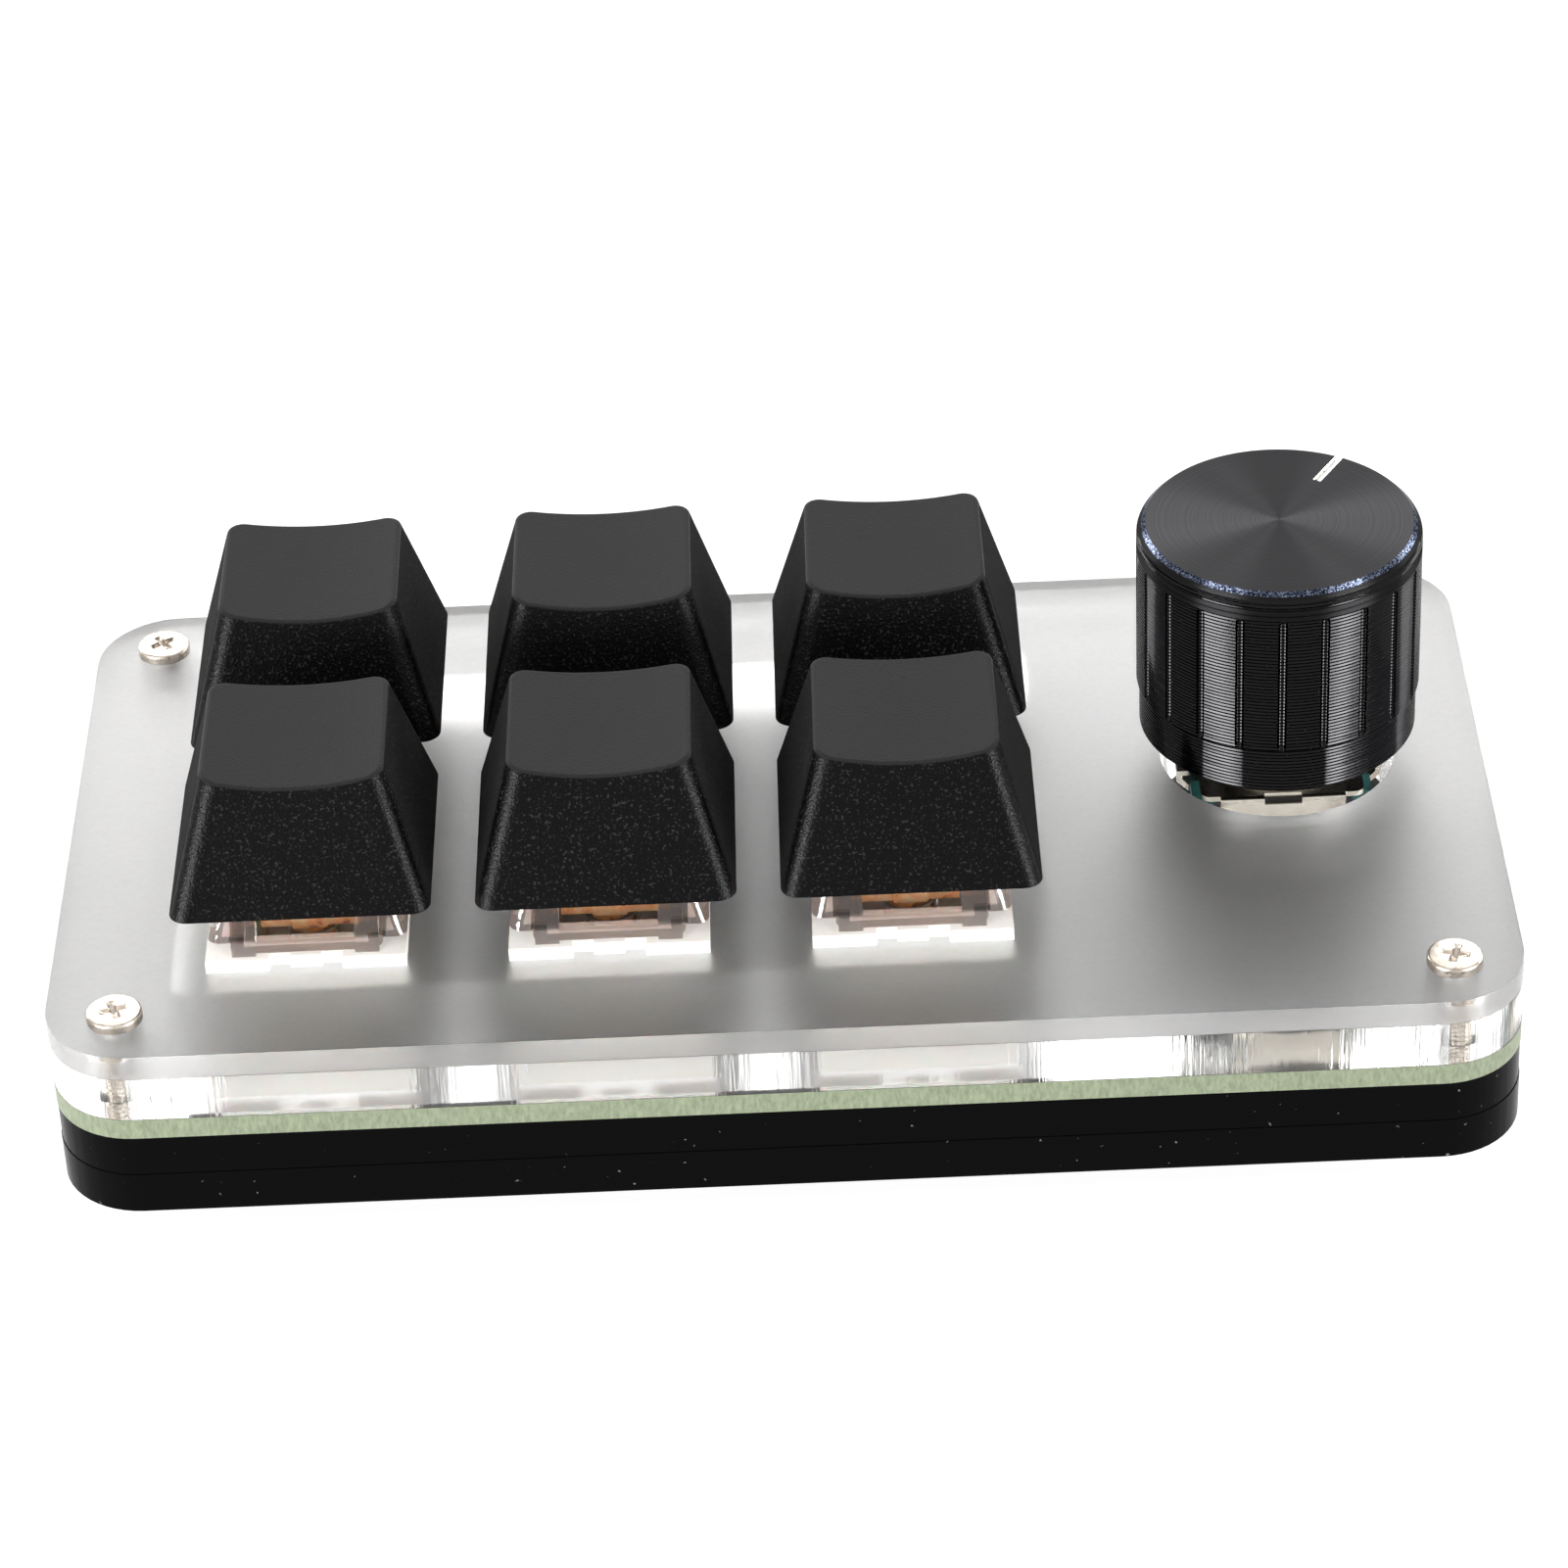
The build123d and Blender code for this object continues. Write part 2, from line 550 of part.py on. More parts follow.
def housing_blocks(length, depth, block, setback, inset):
    """Sizes of the two crossed blocks of the housing at one level, moved in by an inset."""
    return (
        (length - 2 * inset, depth - 2 * setback - 2 * inset),
        (block - 2 * inset, depth - 2 * inset),
    )


HOUSING_FOOT = (SWITCH_FLANGE_FRONT, SWITCH_FLANGE_FRONT, HOUSING_BLOCK_WIDTH, HOUSING_SETBACK)
HOUSING_CROWN = (HOUSING_TOP_LENGTH, HOUSING_TOP_DEPTH, HOUSING_TOP_BLOCK, HOUSING_TOP_SETBACK)

# Clear upper housing: two crossed tapered blocks, hollow, with set-back corners. Two clip legs
# stand out at the front and the back, on either side of a window.
with BuildPart() as switch_housing:
    for foot, crown in zip(housing_blocks(*HOUSING_FOOT, 0), housing_blocks(*HOUSING_CROWN, 0)):
        with BuildSketch(Plane.XY.offset(HOUSING_Z)):
            RectangleRounded(*foot, HOUSING_CORNER)
        with BuildSketch(Plane.XY.offset(HOUSING_TOP_Z)):
            RectangleRounded(*crown, HOUSING_CORNER)
        loft()
    for face in (-1, 1):
        for side in (-1, 1):
            leg_x = side * (HOUSING_WINDOW + CLIP_WIDTH) / 2
            with BuildSketch(Plane.XY.offset(HOUSING_Z)):
                with Locations((leg_x, face * (SWITCH_FLANGE_FRONT - HOUSING_WALL) / 2)):
                    Rectangle(CLIP_WIDTH, HOUSING_WALL + 2 * CLIP_STANDOUT)
            with BuildSketch(Plane.XY.offset(HOUSING_TOP_Z)):
                with Locations((leg_x, face * (HOUSING_TOP_DEPTH - HOUSING_WALL) / 2)):
                    Rectangle(CLIP_WIDTH, HOUSING_WALL + 2 * CLIP_STANDOUT)
            loft()
    feet = housing_blocks(*HOUSING_FOOT, HOUSING_WALL)
    crowns = housing_blocks(*HOUSING_CROWN, HOUSING_WALL / 2)
    for foot, crown in zip(feet, crowns):
        with BuildSketch(Plane.XY.offset(HOUSING_Z)):
            Rectangle(*foot)
        with BuildSketch(Plane.XY.offset(HOUSING_ROOF_Z)):
            Rectangle(*crown)
        loft(mode=Mode.SUBTRACT)
    with BuildSketch(Plane.XY.offset(HOUSING_ROOF_Z)):
        Rectangle(STEM_LENGTH + 2 * HOUSING_OPENING_GAP, OPENING_DEPTH)
    extrude(amount=HOUSING_ROOF, mode=Mode.SUBTRACT)
    with BuildSketch(Plane.XZ):
        with Locations((0, (WINDOW_TOP_Z + WINDOW_SILL_Z) / 2)):
            Rectangle(HOUSING_WINDOW, WINDOW_TOP_Z - WINDOW_SILL_Z)
    extrude(amount=SWITCH_FLANGE, both=True, mode=Mode.SUBTRACT)

# Stem: slider with a rib front and back, stop wings, cup for the spring, pole and cross.
with BuildPart() as key_stem:
    with BuildSketch(Plane.XY.offset(STEM_Z)):
        Rectangle(STEM_LENGTH, STEM_DEPTH)
        Rectangle(STEM_RIB_WIDTH, STEM_DEPTH + 2 * STEM_RIB_HEIGHT)
    extrude(amount=HOUSING_TOP_Z - STEM_Z)
    with BuildSketch(Plane.XY.offset(STEM_Z)):
        Rectangle(STEM_WING_LENGTH, STEM_WING_DEPTH)
    extrude(amount=HOUSING_ROOF_Z - STOP_GAP - STEM_Z)
    with BuildSketch(Plane.XY.offset(STEM_Z)):
        Circle(SPRING_DIAMETER / 2 + SPRING_CUP_CLEARANCE)
    extrude(amount=SPRING_TOP_Z - STEM_Z, mode=Mode.SUBTRACT)
    with BuildSketch(Plane.XY.offset(SWITCH_FLOOR_Z)):
        Circle(POLE_DIAMETER / 2)
    extrude(amount=SPRING_TOP_Z - SWITCH_FLOOR_Z)
    with BuildSketch(Plane.XY.offset(HOUSING_TOP_Z)):
        cross_section(0)
    extrude(amount=CROSS_HEIGHT)

# The return spring as the sleeve that its coils fill, from the housing floor to the cup.
with BuildPart() as switch_spring:
    with BuildSketch(Plane.XY.offset(SWITCH_FLOOR_Z)):
        Circle(SPRING_DIAMETER / 2)
        Circle(SPRING_DIAMETER / 2 - SPRING_WIRE, mode=Mode.SUBTRACT)
    extrude(amount=SPRING_TOP_Z - SWITCH_FLOOR_Z)

# Inside of the keycap: the outer taper moved in by one wall and cut off under the roof.
with BuildPart() as cap_cavity:
    with BuildSketch(Plane.XY.offset(CAP_Z)):
        RectangleRounded(CAP_BASE - 2 * CAP_WALL, CAP_BASE - 2 * CAP_WALL, CAP_BASE_RADIUS)
    with BuildSketch(Plane.XY.offset(CAP_TOP_Z)):
        with Locations((0, CAP_TOP_SHIFT)):
            RectangleRounded(CAP_TOP_WIDTH - 2 * CAP_WALL, CAP_TOP_DEPTH - 2 * CAP_WALL, CAP_BASE_RADIUS)
    loft()
    split(bisect_by=Plane.XY.offset(CAP_ROOF_Z), keep=Keep.BOTTOM)

# Keycap: tapered shell with a dished top that is lower at the front, and a cross socket.
with BuildPart() as keycap:
    with BuildSketch(Plane.XY.offset(CAP_Z)):
        RectangleRounded(CAP_BASE, CAP_BASE, CAP_BASE_RADIUS)
    with BuildSketch(Plane.XY.offset(CAP_TOP_Z)):
        with Locations((0, CAP_TOP_SHIFT)):
            RectangleRounded(CAP_TOP_WIDTH, CAP_TOP_DEPTH, CAP_TOP_RADIUS)
    loft()
    with BuildSketch(DISH_PLANE):
        Circle(DISH_RADIUS)
    extrude(amount=CAP_BASE, both=True, mode=Mode.SUBTRACT)
    fillet(keycap.faces().sort_by(Axis.Z)[-1].edges(), radius=CAP_RIM_RADIUS)
    add(cap_cavity.part, mode=Mode.SUBTRACT)
    with BuildSketch(Plane.XY.offset(CAP_SOCKET_Z)):
        Circle(CAP_SOCKET_DIAMETER / 2)
    extrude(amount=CAP_ROOF_Z - CAP_SOCKET_Z)
    with BuildSketch(Plane.XY.offset(CAP_SOCKET_Z)):
        cross_section(CAP_CROSS_CLEARANCE)
    extrude(amount=CROSS_HEIGHT + CAP_CROSS_SPARE, mode=Mode.SUBTRACT)

KEY_SET = {
    "keycap": keycap,
    "key_stem": key_stem,
    "switch_housing": switch_housing,
    "switch_base": switch_base,
    "switch_spring": switch_spring,
    "switch_contacts": switch_contacts,
}
for number, centre in enumerate(KEY_CENTRES, start=1):
    for name, piece in KEY_SET.items():
        placed = piece.part.moved(Location((*centre, 0)))
        placed.label = f"{name}_{number}"
        export_step(placed, f"parts/{placed.label}.step")

# --- rotary encoder, built at its own place ---------------------------------------------

ENCODER_PLANE = Plane.XY.move(Location((KNOB_X, KNOB_Y, 0)))


def level(height):
    """Sketch plane on the axis of the encoder at a height above the floor."""
    return ENCODER_PLANE.offset(height)


# Moulded body: stepped bore for the rotor, closed by a floor, with two ears on each side.
with BuildPart() as encoder_body:
    with BuildSketch(level(SPACER_Z)):
        Rectangle(ENCODER_LENGTH - 2 * COVER_SHEET, ENCODER_DEPTH - 2 * COVER_SHEET)
        with GridLocations(0, ENCODER_EAR_SPACING, 1, 2):
            Rectangle(ENCODER_LENGTH + 2 * (ENCODER_EAR_REACH - COVER_SHEET), ENCODER_EAR_WIDTH)
    extrude(amount=COVER_UNDER_Z - SPACER_Z)
    with BuildSketch(level(ENCODER_FLOOR_Z)):
        Circle(ROTOR_HUB_DIAMETER / 2 + ROTOR_SIDE_GAP)
    extrude(amount=COVER_UNDER_Z - ENCODER_FLOOR_Z, mode=Mode.SUBTRACT)
    with BuildSketch(level(ROTOR_Z - ROTOR_GAP)):
        Circle(ROTOR_DIAMETER / 2 + ROTOR_SIDE_GAP)
    extrude(amount=COVER_UNDER_Z - ROTOR_Z + ROTOR_GAP, mode=Mode.SUBTRACT)
keep(encoder_body, "encoder_body")

# Sheet-metal cover: notched top, front and back skirts with a slot in the front bend, and side
# lugs that stand out, turn back to the body and end in legs through the board.
with BuildPart() as encoder_cover:
    with BuildSketch(level(COVER_UNDER_Z)):
        RectangleRounded(ENCODER_LENGTH, ENCODER_DEPTH - 2 * COVER_NOTCH_DEPTH, COVER_CORNER_RADIUS)
        Rectangle(COVER_SKIRT_LENGTH, ENCODER_DEPTH)
        Circle(SHAFT_DIAMETER / 2 + SHAFT_CLEARANCE, mode=Mode.SUBTRACT)
    extrude(amount=COVER_SHEET)
    with BuildSketch(level(SPACER_Z + COVER_SKIRT_RISE)):
        with GridLocations(0, ENCODER_DEPTH - COVER_SHEET, 1, 2):
            Rectangle(COVER_SKIRT_LENGTH, COVER_SHEET)
    extrude(amount=COVER_UNDER_Z - SPACER_Z - COVER_SKIRT_RISE)
    bends = encoder_cover.edges().filter_by(Axis.X).group_by(Axis.Z)[-1].sort_by(Axis.Y)
    fillet((bends[0], bends[-1]), radius=COVER_BEND_RADIUS)
    with BuildSketch(level(COVER_TOP_Z)):
        with Locations((0, (COVER_SLOT_REACH - ENCODER_DEPTH) / 2)):
            Rectangle(COVER_SLOT_WIDTH, COVER_SLOT_REACH)
    extrude(amount=-COVER_SLOT_REACH, mode=Mode.SUBTRACT)
    for side in (-1, 1):
        side_x = side * ENCODER_LENGTH / 2
        lug_x = side * COVER_LUG_X
        sheet = side * COVER_SHEET
        with BuildSketch(Plane.XZ.offset(-KNOB_Y).move(Location((KNOB_X, 0, 0)))):
            with BuildLine():
                Polyline(
                    (side_x, COVER_TOP_Z),
                    (lug_x, COVER_TOP_Z),
                    (lug_x, COVER_LUG_Z),
                    (side_x, COVER_LUG_Z - COVER_LUG_STANDOUT),
                    (side_x, SPACER_Z),
                    (side_x - sheet, SPACER_Z),
                    (side_x - sheet, COVER_LUG_Z - COVER_LUG_STANDOUT + COVER_MITRE),
                    (lug_x - sheet, COVER_LUG_Z + COVER_MITRE),
                    (lug_x - sheet, COVER_UNDER_Z),
                    (side_x, COVER_UNDER_Z),
                    close=True,
                )
            make_face()
        extrude(amount=COVER_LUG_WIDTH / 2, both=True)
    with BuildSketch(level(SPACER_Z - COVER_LEG_LENGTH)):
        with GridLocations(ENCODER_LENGTH - COVER_SHEET, 0, 2, 1):
            Rectangle(COVER_SHEET, COVER_LEG_WIDTH)
    extrude(amount=COVER_LEG_LENGTH)
keep(encoder_cover, "encoder_cover")

with BuildPart() as encoder_bushing:
    with BuildSketch(level(COVER_TOP_Z)):
        Circle(BUSHING_FLANGE_DIAMETER / 2)
    extrude(amount=BUSHING_FLANGE_HEIGHT)
    with BuildSketch(level(COVER_TOP_Z)):
        Circle(BUSHING_DIAMETER / 2)
    extrude(amount=BUSHING_HEIGHT)
    with BuildSketch(level(COVER_TOP_Z)):
        Circle(SHAFT_DIAMETER / 2 + SHAFT_CLEARANCE)
    extrude(amount=BUSHING_HEIGHT, mode=Mode.SUBTRACT)
keep(encoder_bushing, "encoder_bushing")

# Bent terminals: three for the rotary contacts in front, two for the push switch behind.
with BuildPart() as encoder_terminals:
    for face, count, pitch in ((-1, 3, TERMINAL_PITCH), (1, 2, 2 * TERMINAL_PITCH)):
        inner = ENCODER_DEPTH / 2 - COVER_SHEET
        outer = TERMINAL_ROW_Y + TERMINAL_THICKNESS / 2
        with BuildSketch(level(SPACER_Z + TERMINAL_RISE)):
            with Locations((0, face * (inner + outer) / 2)):
                with GridLocations(pitch, 0, count, 1):
                    Rectangle(TERMINAL_WIDTH, outer - inner)
        extrude(amount=TERMINAL_THICKNESS)
        with BuildSketch(level(BOARD_Z - TERMINAL_TAIL)):
            with Locations((0, face * TERMINAL_ROW_Y)):
                with GridLocations(pitch, 0, count, 1):
                    Rectangle(TERMINAL_WIDTH, TERMINAL_THICKNESS)
        extrude(amount=BOARD_THICKNESS + TERMINAL_TAIL + TERMINAL_RISE)
keep(encoder_terminals, "encoder_terminals")

# Snap dome of the push switch, on the floor of the body.
with BuildPart() as encoder_dome:
    with BuildSketch(level(ENCODER_FLOOR_Z)):
        Circle(DOME_DIAMETER / 2)
    with BuildSketch(level(ENCODER_FLOOR_Z + DOME_HEIGHT)):
        Circle(DOME_DIAMETER / 4)
    loft()
keep(encoder_dome, "encoder_dome")

# Rotor: contact disc and hub with the two-flat bore that turns it with the shaft.
with BuildPart() as encoder_rotor:
    with BuildSketch(level(ROTOR_Z)):
        Circle(ROTOR_DIAMETER / 2)
    extrude(amount=ROTOR_THICKNESS)
    with BuildSketch(level(ROTOR_Z)):
        Circle(ROTOR_HUB_DIAMETER / 2)
    extrude(amount=-ROTOR_HUB_HEIGHT)
    with BuildSketch(level(ROTOR_Z - ROTOR_HUB_HEIGHT)):
        shaft_key(SHAFT_CLEARANCE)
    extrude(amount=ROTOR_HUB_HEIGHT + ROTOR_THICKNESS, mode=Mode.SUBTRACT)
keep(encoder_rotor, "encoder_rotor")

# Shaft: two-flat tail in the rotor, round journal in the bushing, D-cut end in the knob.
with BuildPart() as encoder_shaft:
    with BuildSketch(level(SHAFT_Z)):
        shaft_key(0)
    extrude(amount=SHAFT_JOURNAL_Z - SHAFT_Z)
    with BuildSketch(level(SHAFT_JOURNAL_Z)):
        Circle(SHAFT_DIAMETER / 2)
    extrude(amount=SHAFT_TOP_Z - SHAFT_JOURNAL_Z)
    with BuildSketch(level(SHAFT_TOP_Z)):
        with Locations(turned(SHAFT_DIAMETER - SHAFT_FLAT_DEPTH)):
            Rectangle(SHAFT_DIAMETER, SHAFT_DIAMETER)
    extrude(amount=-SHAFT_FLAT_LENGTH, mode=Mode.SUBTRACT)
keep(encoder_shaft, "encoder_shaft")

# --- knob ---------------------------------------------------------------------------------

# Ball-nosed cutter of the flutes: a half slot turned round its own long axis.
with BuildPart() as flute_cutter:
    with BuildSketch(Plane.XZ):
        SlotOverall(FLUTE_LENGTH, 2 * FLUTE_CUTTER_RADIUS, rotation=90)
        split(bisect_by=Plane.YZ)
    revolve(axis=Axis.Z)

with BuildPart() as knob:
    with BuildSketch(Plane.XZ.offset(-KNOB_Y).move(Location((KNOB_X, 0, 0)))):
        with BuildLine():
            Polyline(
                (KNOB_HUB_RADIUS, KNOB_Z),
                (KNOB_HUB_RADIUS, KNOB_HOLLOW_Z),
                (KNOB_SKIRT_RADIUS - KNOB_WALL, KNOB_HOLLOW_Z),
                (KNOB_SKIRT_RADIUS - KNOB_WALL, KNOB_Z),
                (KNOB_SKIRT_RADIUS - KNOB_SKIRT_EDGE, KNOB_Z),
                (KNOB_SKIRT_RADIUS, KNOB_Z + KNOB_SKIRT_EDGE),
                (KNOB_SKIRT_RADIUS, KNOB_GROOVE_Z),
                (KNOB_SKIRT_RADIUS - KNOB_GROOVE_DEPTH, KNOB_GROOVE_Z),
                (KNOB_SKIRT_RADIUS - KNOB_GROOVE_DEPTH, KNOB_GROOVE_Z + KNOB_GROOVE_WIDTH),
                (KNOB_BODY_RADIUS, KNOB_GROOVE_Z + KNOB_GROOVE_WIDTH),
                *ring_points(),
                (KNOB_BODY_RADIUS, KNOB_SHOULDER_Z),
            )
            TangentArc(
                (KNOB_BODY_RADIUS, KNOB_SHOULDER_Z),
                (KNOB_SHOULDER_RADIUS, KNOB_SHOULDER_Z + KNOB_SHOULDER_HEIGHT),
                tangent=(0, 1),
            )
            Polyline(
                (KNOB_SHOULDER_RADIUS, KNOB_SHOULDER_Z + KNOB_SHOULDER_HEIGHT),
                (KNOB_SHOULDER_RADIUS - KNOB_CHAMFER, KNOB_TOP_Z),
                (0, KNOB_TOP_Z),
                (0, KNOB_BORE_Z),
                (KNOB_BORE_RADIUS, KNOB_BORE_Z),
                (KNOB_BORE_RADIUS, KNOB_Z + KNOB_COUNTERBORE_DEPTH),
                (KNOB_COUNTERBORE / 2, KNOB_Z + KNOB_COUNTERBORE_DEPTH),
                (KNOB_COUNTERBORE / 2, KNOB_Z),
                (KNOB_HUB_RADIUS, KNOB_Z),
            )
        make_face()
    revolve(axis=Axis((KNOB_X, KNOB_Y, 0), (0, 0, 1)))
    with Locations((KNOB_X, KNOB_Y, FLUTE_Z + FLUTE_LENGTH / 2)):
        with PolarLocations(FLUTE_AXIS_RADIUS, FLUTE_COUNT, start_angle=FLUTE_PHASE):
            add(flute_cutter.part, mode=Mode.SUBTRACT)
    with BuildSketch(level(KNOB_TOP_Z)):
        with Locations(turned(MARK_START + KNOB_BODY_RADIUS / 2)):
            Rectangle(KNOB_BODY_RADIUS, MARK_WIDTH)
    extrude(amount=-MARK_DEPTH, mode=Mode.SUBTRACT)
    with BuildSketch(SET_SCREW_PLANE):
        Circle(SET_SCREW_HOLE / 2)
    extrude(amount=KNOB_BODY_RADIUS, mode=Mode.SUBTRACT)
keep(knob, "knob")

# Grub screw that bears on the flat of the shaft, on the side of the pointer mark.
with BuildPart() as knob_set_screw:
    with BuildSketch(SET_SCREW_PLANE.offset(SHAFT_DIAMETER / 2 - SHAFT_FLAT_DEPTH)):
        Circle(SET_SCREW_DIAMETER / 2)
    extrude(amount=SET_SCREW_LENGTH)
    with BuildSketch(SET_SCREW_PLANE.offset(SHAFT_DIAMETER / 2 - SHAFT_FLAT_DEPTH + SET_SCREW_LENGTH)):
        RegularPolygon(SET_SCREW_SOCKET / 2, 6, major_radius=False)
    extrude(amount=-SET_SCREW_SOCKET_DEPTH, mode=Mode.SUBTRACT)
keep(knob_set_screw, "knob_set_screw")

# --- parts under the board ------------------------------------------------------------------

USB_PLANE = Plane(
    origin=(USB_X, CASE_DEPTH / 2, BOARD_Z - USB_HEIGHT / 2),
    x_dir=(1, 0, 0),
    z_dir=(0, -1, 0),
)

with BuildPart() as usb_socket:
    with BuildSketch(USB_PLANE):
        RectangleRounded(USB_WIDTH, USB_HEIGHT, USB_RADIUS)
    extrude(amount=USB_DEPTH)
    with BuildSketch(USB_PLANE):
        RectangleRounded(USB_WIDTH - 2 * USB_SHELL, USB_HEIGHT - 2 * USB_SHELL, USB_RADIUS - USB_SHELL)
    extrude(amount=USB_DEPTH - USB_BACK, mode=Mode.SUBTRACT)
keep(usb_socket, "usb_socket")

with BuildPart() as usb_tongue:
    with BuildSketch(USB_PLANE.offset(USB_TONGUE_INSET)):
        Rectangle(USB_TONGUE_WIDTH, USB_TONGUE_HEIGHT)
    extrude(amount=USB_DEPTH - USB_BACK - USB_TONGUE_INSET)
keep(usb_tongue, "usb_tongue")

with BuildPart() as controller_chip:
    with BuildSketch(Plane.XY.offset(BOARD_Z)):
        with Locations((CHIP_X, 0)):
            Rectangle(CHIP_SIZE, CHIP_SIZE)
    extrude(amount=-CHIP_HEIGHT)
keep(controller_chip, "controller_chip")

# One diode for each key, and the crystal beside the controller.
with BuildPart() as board_parts:
    with BuildSketch(Plane.XY.offset(BOARD_Z)):
        with Locations(*KEY_CENTRES):
            with Locations(DIODE_OFFSET):
                Rectangle(DIODE_WIDTH, DIODE_LENGTH)
    extrude(amount=-DIODE_HEIGHT)
    with BuildSketch(Plane.XY.offset(BOARD_Z)):
        with Locations((CHIP_X, (CHIP_SIZE + CRYSTAL_WIDTH) / 2 + CRYSTAL_GAP)):
            Rectangle(CRYSTAL_LENGTH, CRYSTAL_WIDTH)
    extrude(amount=-CRYSTAL_HEIGHT)
keep(board_parts, "board_parts")
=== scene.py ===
import math

import bmesh
import bpy
import numpy as np
from mathutils import Matrix, Vector


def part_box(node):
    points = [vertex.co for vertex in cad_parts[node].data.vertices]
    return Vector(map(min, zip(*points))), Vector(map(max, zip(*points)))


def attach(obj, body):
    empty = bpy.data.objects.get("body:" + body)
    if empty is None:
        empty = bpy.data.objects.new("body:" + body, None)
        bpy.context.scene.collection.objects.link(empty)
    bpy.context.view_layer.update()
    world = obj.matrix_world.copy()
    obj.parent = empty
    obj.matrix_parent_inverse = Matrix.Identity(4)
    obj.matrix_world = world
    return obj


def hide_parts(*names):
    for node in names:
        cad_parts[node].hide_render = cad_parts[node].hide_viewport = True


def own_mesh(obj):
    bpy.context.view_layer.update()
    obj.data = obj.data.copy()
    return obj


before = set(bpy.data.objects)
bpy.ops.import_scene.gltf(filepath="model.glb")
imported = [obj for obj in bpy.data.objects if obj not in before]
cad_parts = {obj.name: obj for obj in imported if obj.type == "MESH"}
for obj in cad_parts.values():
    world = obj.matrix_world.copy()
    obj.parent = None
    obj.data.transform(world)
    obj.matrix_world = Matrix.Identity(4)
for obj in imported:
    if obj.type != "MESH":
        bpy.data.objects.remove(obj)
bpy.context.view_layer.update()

# --- camera -----------------------------------------------------------------------------------
# A long lens from in front and above, turned and rolled a little: the left end of the case
# comes forward and the right end rides higher.

MM = 0.001
IMAGE_SIDE = 1601
FOCAL_PIXELS = 5654.96
SENSOR_WIDTH = 36.0
CAMERA_PLACE = Vector((3.579, -329.102, 245.50)) * MM
ELEVATION, ROLL, YAW = (math.radians(angle) for angle in (34.596, 2.744, -0.544))

look = Vector((
    math.sin(YAW) * math.cos(ELEVATION), math.cos(YAW) * math.cos(ELEVATION), -math.sin(ELEVATION),
))
level_right = Vector((math.cos(YAW), -math.sin(YAW), 0.0))
level_up = level_right.cross(look)
right = math.cos(ROLL) * level_right - math.sin(ROLL) * level_up
up = math.sin(ROLL) * level_right + math.cos(ROLL) * level_up

lens = bpy.data.cameras.new("camera")
lens.sensor_width = SENSOR_WIDTH
lens.lens = SENSOR_WIDTH * FOCAL_PIXELS / IMAGE_SIDE
lens.clip_start, lens.clip_end = 0.02, 20.0
camera = bpy.data.objects.new("camera", lens)
bpy.context.scene.collection.objects.link(camera)
turned = Matrix((right, up, -look)).transposed().to_4x4()
camera.matrix_world = Matrix.Translation(CAMERA_PLACE) @ turned
bpy.context.scene.camera = camera
bpy.context.scene.view_settings.view_transform = "Standard"

# --- studio: sweep, floor and lamps -----------------------------------------------------------
# A white sweep fills the view. A wide soft box stands behind the object. To the left and right
# of it are a high strip and a low cheek light in front, and a kicker a little behind.

AMBIENT, SWEEP_WHITE = 0.19, 1.0
FLOOR_SIZE = 6.0
FLOOR_GREY = 0.80
SHOWN_GLOW, SHOWN_GREY = 0.90, 0.3
LAMPS = {
    "back_box": {"place": (0.0, 0.62, 0.44), "size": (1.1, 0.34), "watts": 4.8},
    "strip_left": {"place": (-0.317, -0.262, 0.39), "size": (0.28, 0.05), "watts": 1.65},
    "cheek_left": {"place": (-0.40, -0.33, 0.07), "size": (0.29, 0.07), "watts": 3.0},
    "kicker_left": {"place": (-0.371, 0.341, 0.188), "size": (0.30, 0.08), "watts": 0.9},
    "strip_right": {"place": (0.407, -0.262, 0.39), "size": (0.28, 0.05), "watts": 1.65},
    "cheek_right": {"place": (0.49, -0.33, 0.07), "size": (0.29, 0.07), "watts": 3.0},
    "kicker_right": {"place": (0.5015, 0.251, 0.188), "size": (0.30, 0.08), "watts": 0.9},
}
LAMP_AIM = (0.0, 0.0, 0.02)


def feed(tree, node, sockets):
    """Set input sockets by name or number: from a value, or from the output linked to it."""
    for key, value in sockets.items():
        if isinstance(value, bpy.types.NodeSocket):
            tree.links.new(value, node.inputs[key])
        else:
            node.inputs[key].default_value = value


def put(tree, kind, sockets=None, **settings):
    """Add the node ShaderNode<kind> with settings for its properties, and feed its inputs."""
    node = tree.nodes.new("ShaderNode" + kind)
    for name, value in settings.items():
        setattr(node, name, value)
    feed(tree, node, sockets or {})
    return node


def calc(tree, operation, *values):
    """The output of a Math node on one to three values or outputs, which isn't clamped."""
    return put(tree, "Math", dict(enumerate(values)), operation=operation).outputs[0]


def span(tree, value, first, last, start=0.0, end=1.0):
    """A straight run from first, where the value is start, to last, where it is end."""
    ends = {"From Min": start, "From Max": end, "To Min": first, "To Max": last}
    return put(tree, "MapRange", {"Value": value, **ends}).outputs["Result"]


def grey(level):
    """A neutral colour of this linear level."""
    return (level, level, level, 1.0)


def seen_directly(tree):
    """1 for rays that show the sweep itself: camera, glossy and transmission rays."""
    path = put(tree, "LightPath").outputs
    shown = calc(tree, "MAXIMUM", path["Is Camera Ray"], path["Is Glossy Ray"])
    return calc(tree, "MAXIMUM", shown, path["Is Transmission Ray"])


world = bpy.data.worlds.new("studio")
bpy.context.scene.world = world
world.use_nodes = True
tree = world.node_tree
strength = span(tree, seen_directly(tree), AMBIENT, SWEEP_WHITE)
feed(tree, tree.nodes["Background"], {"Color": grey(1.0), "Strength": strength})

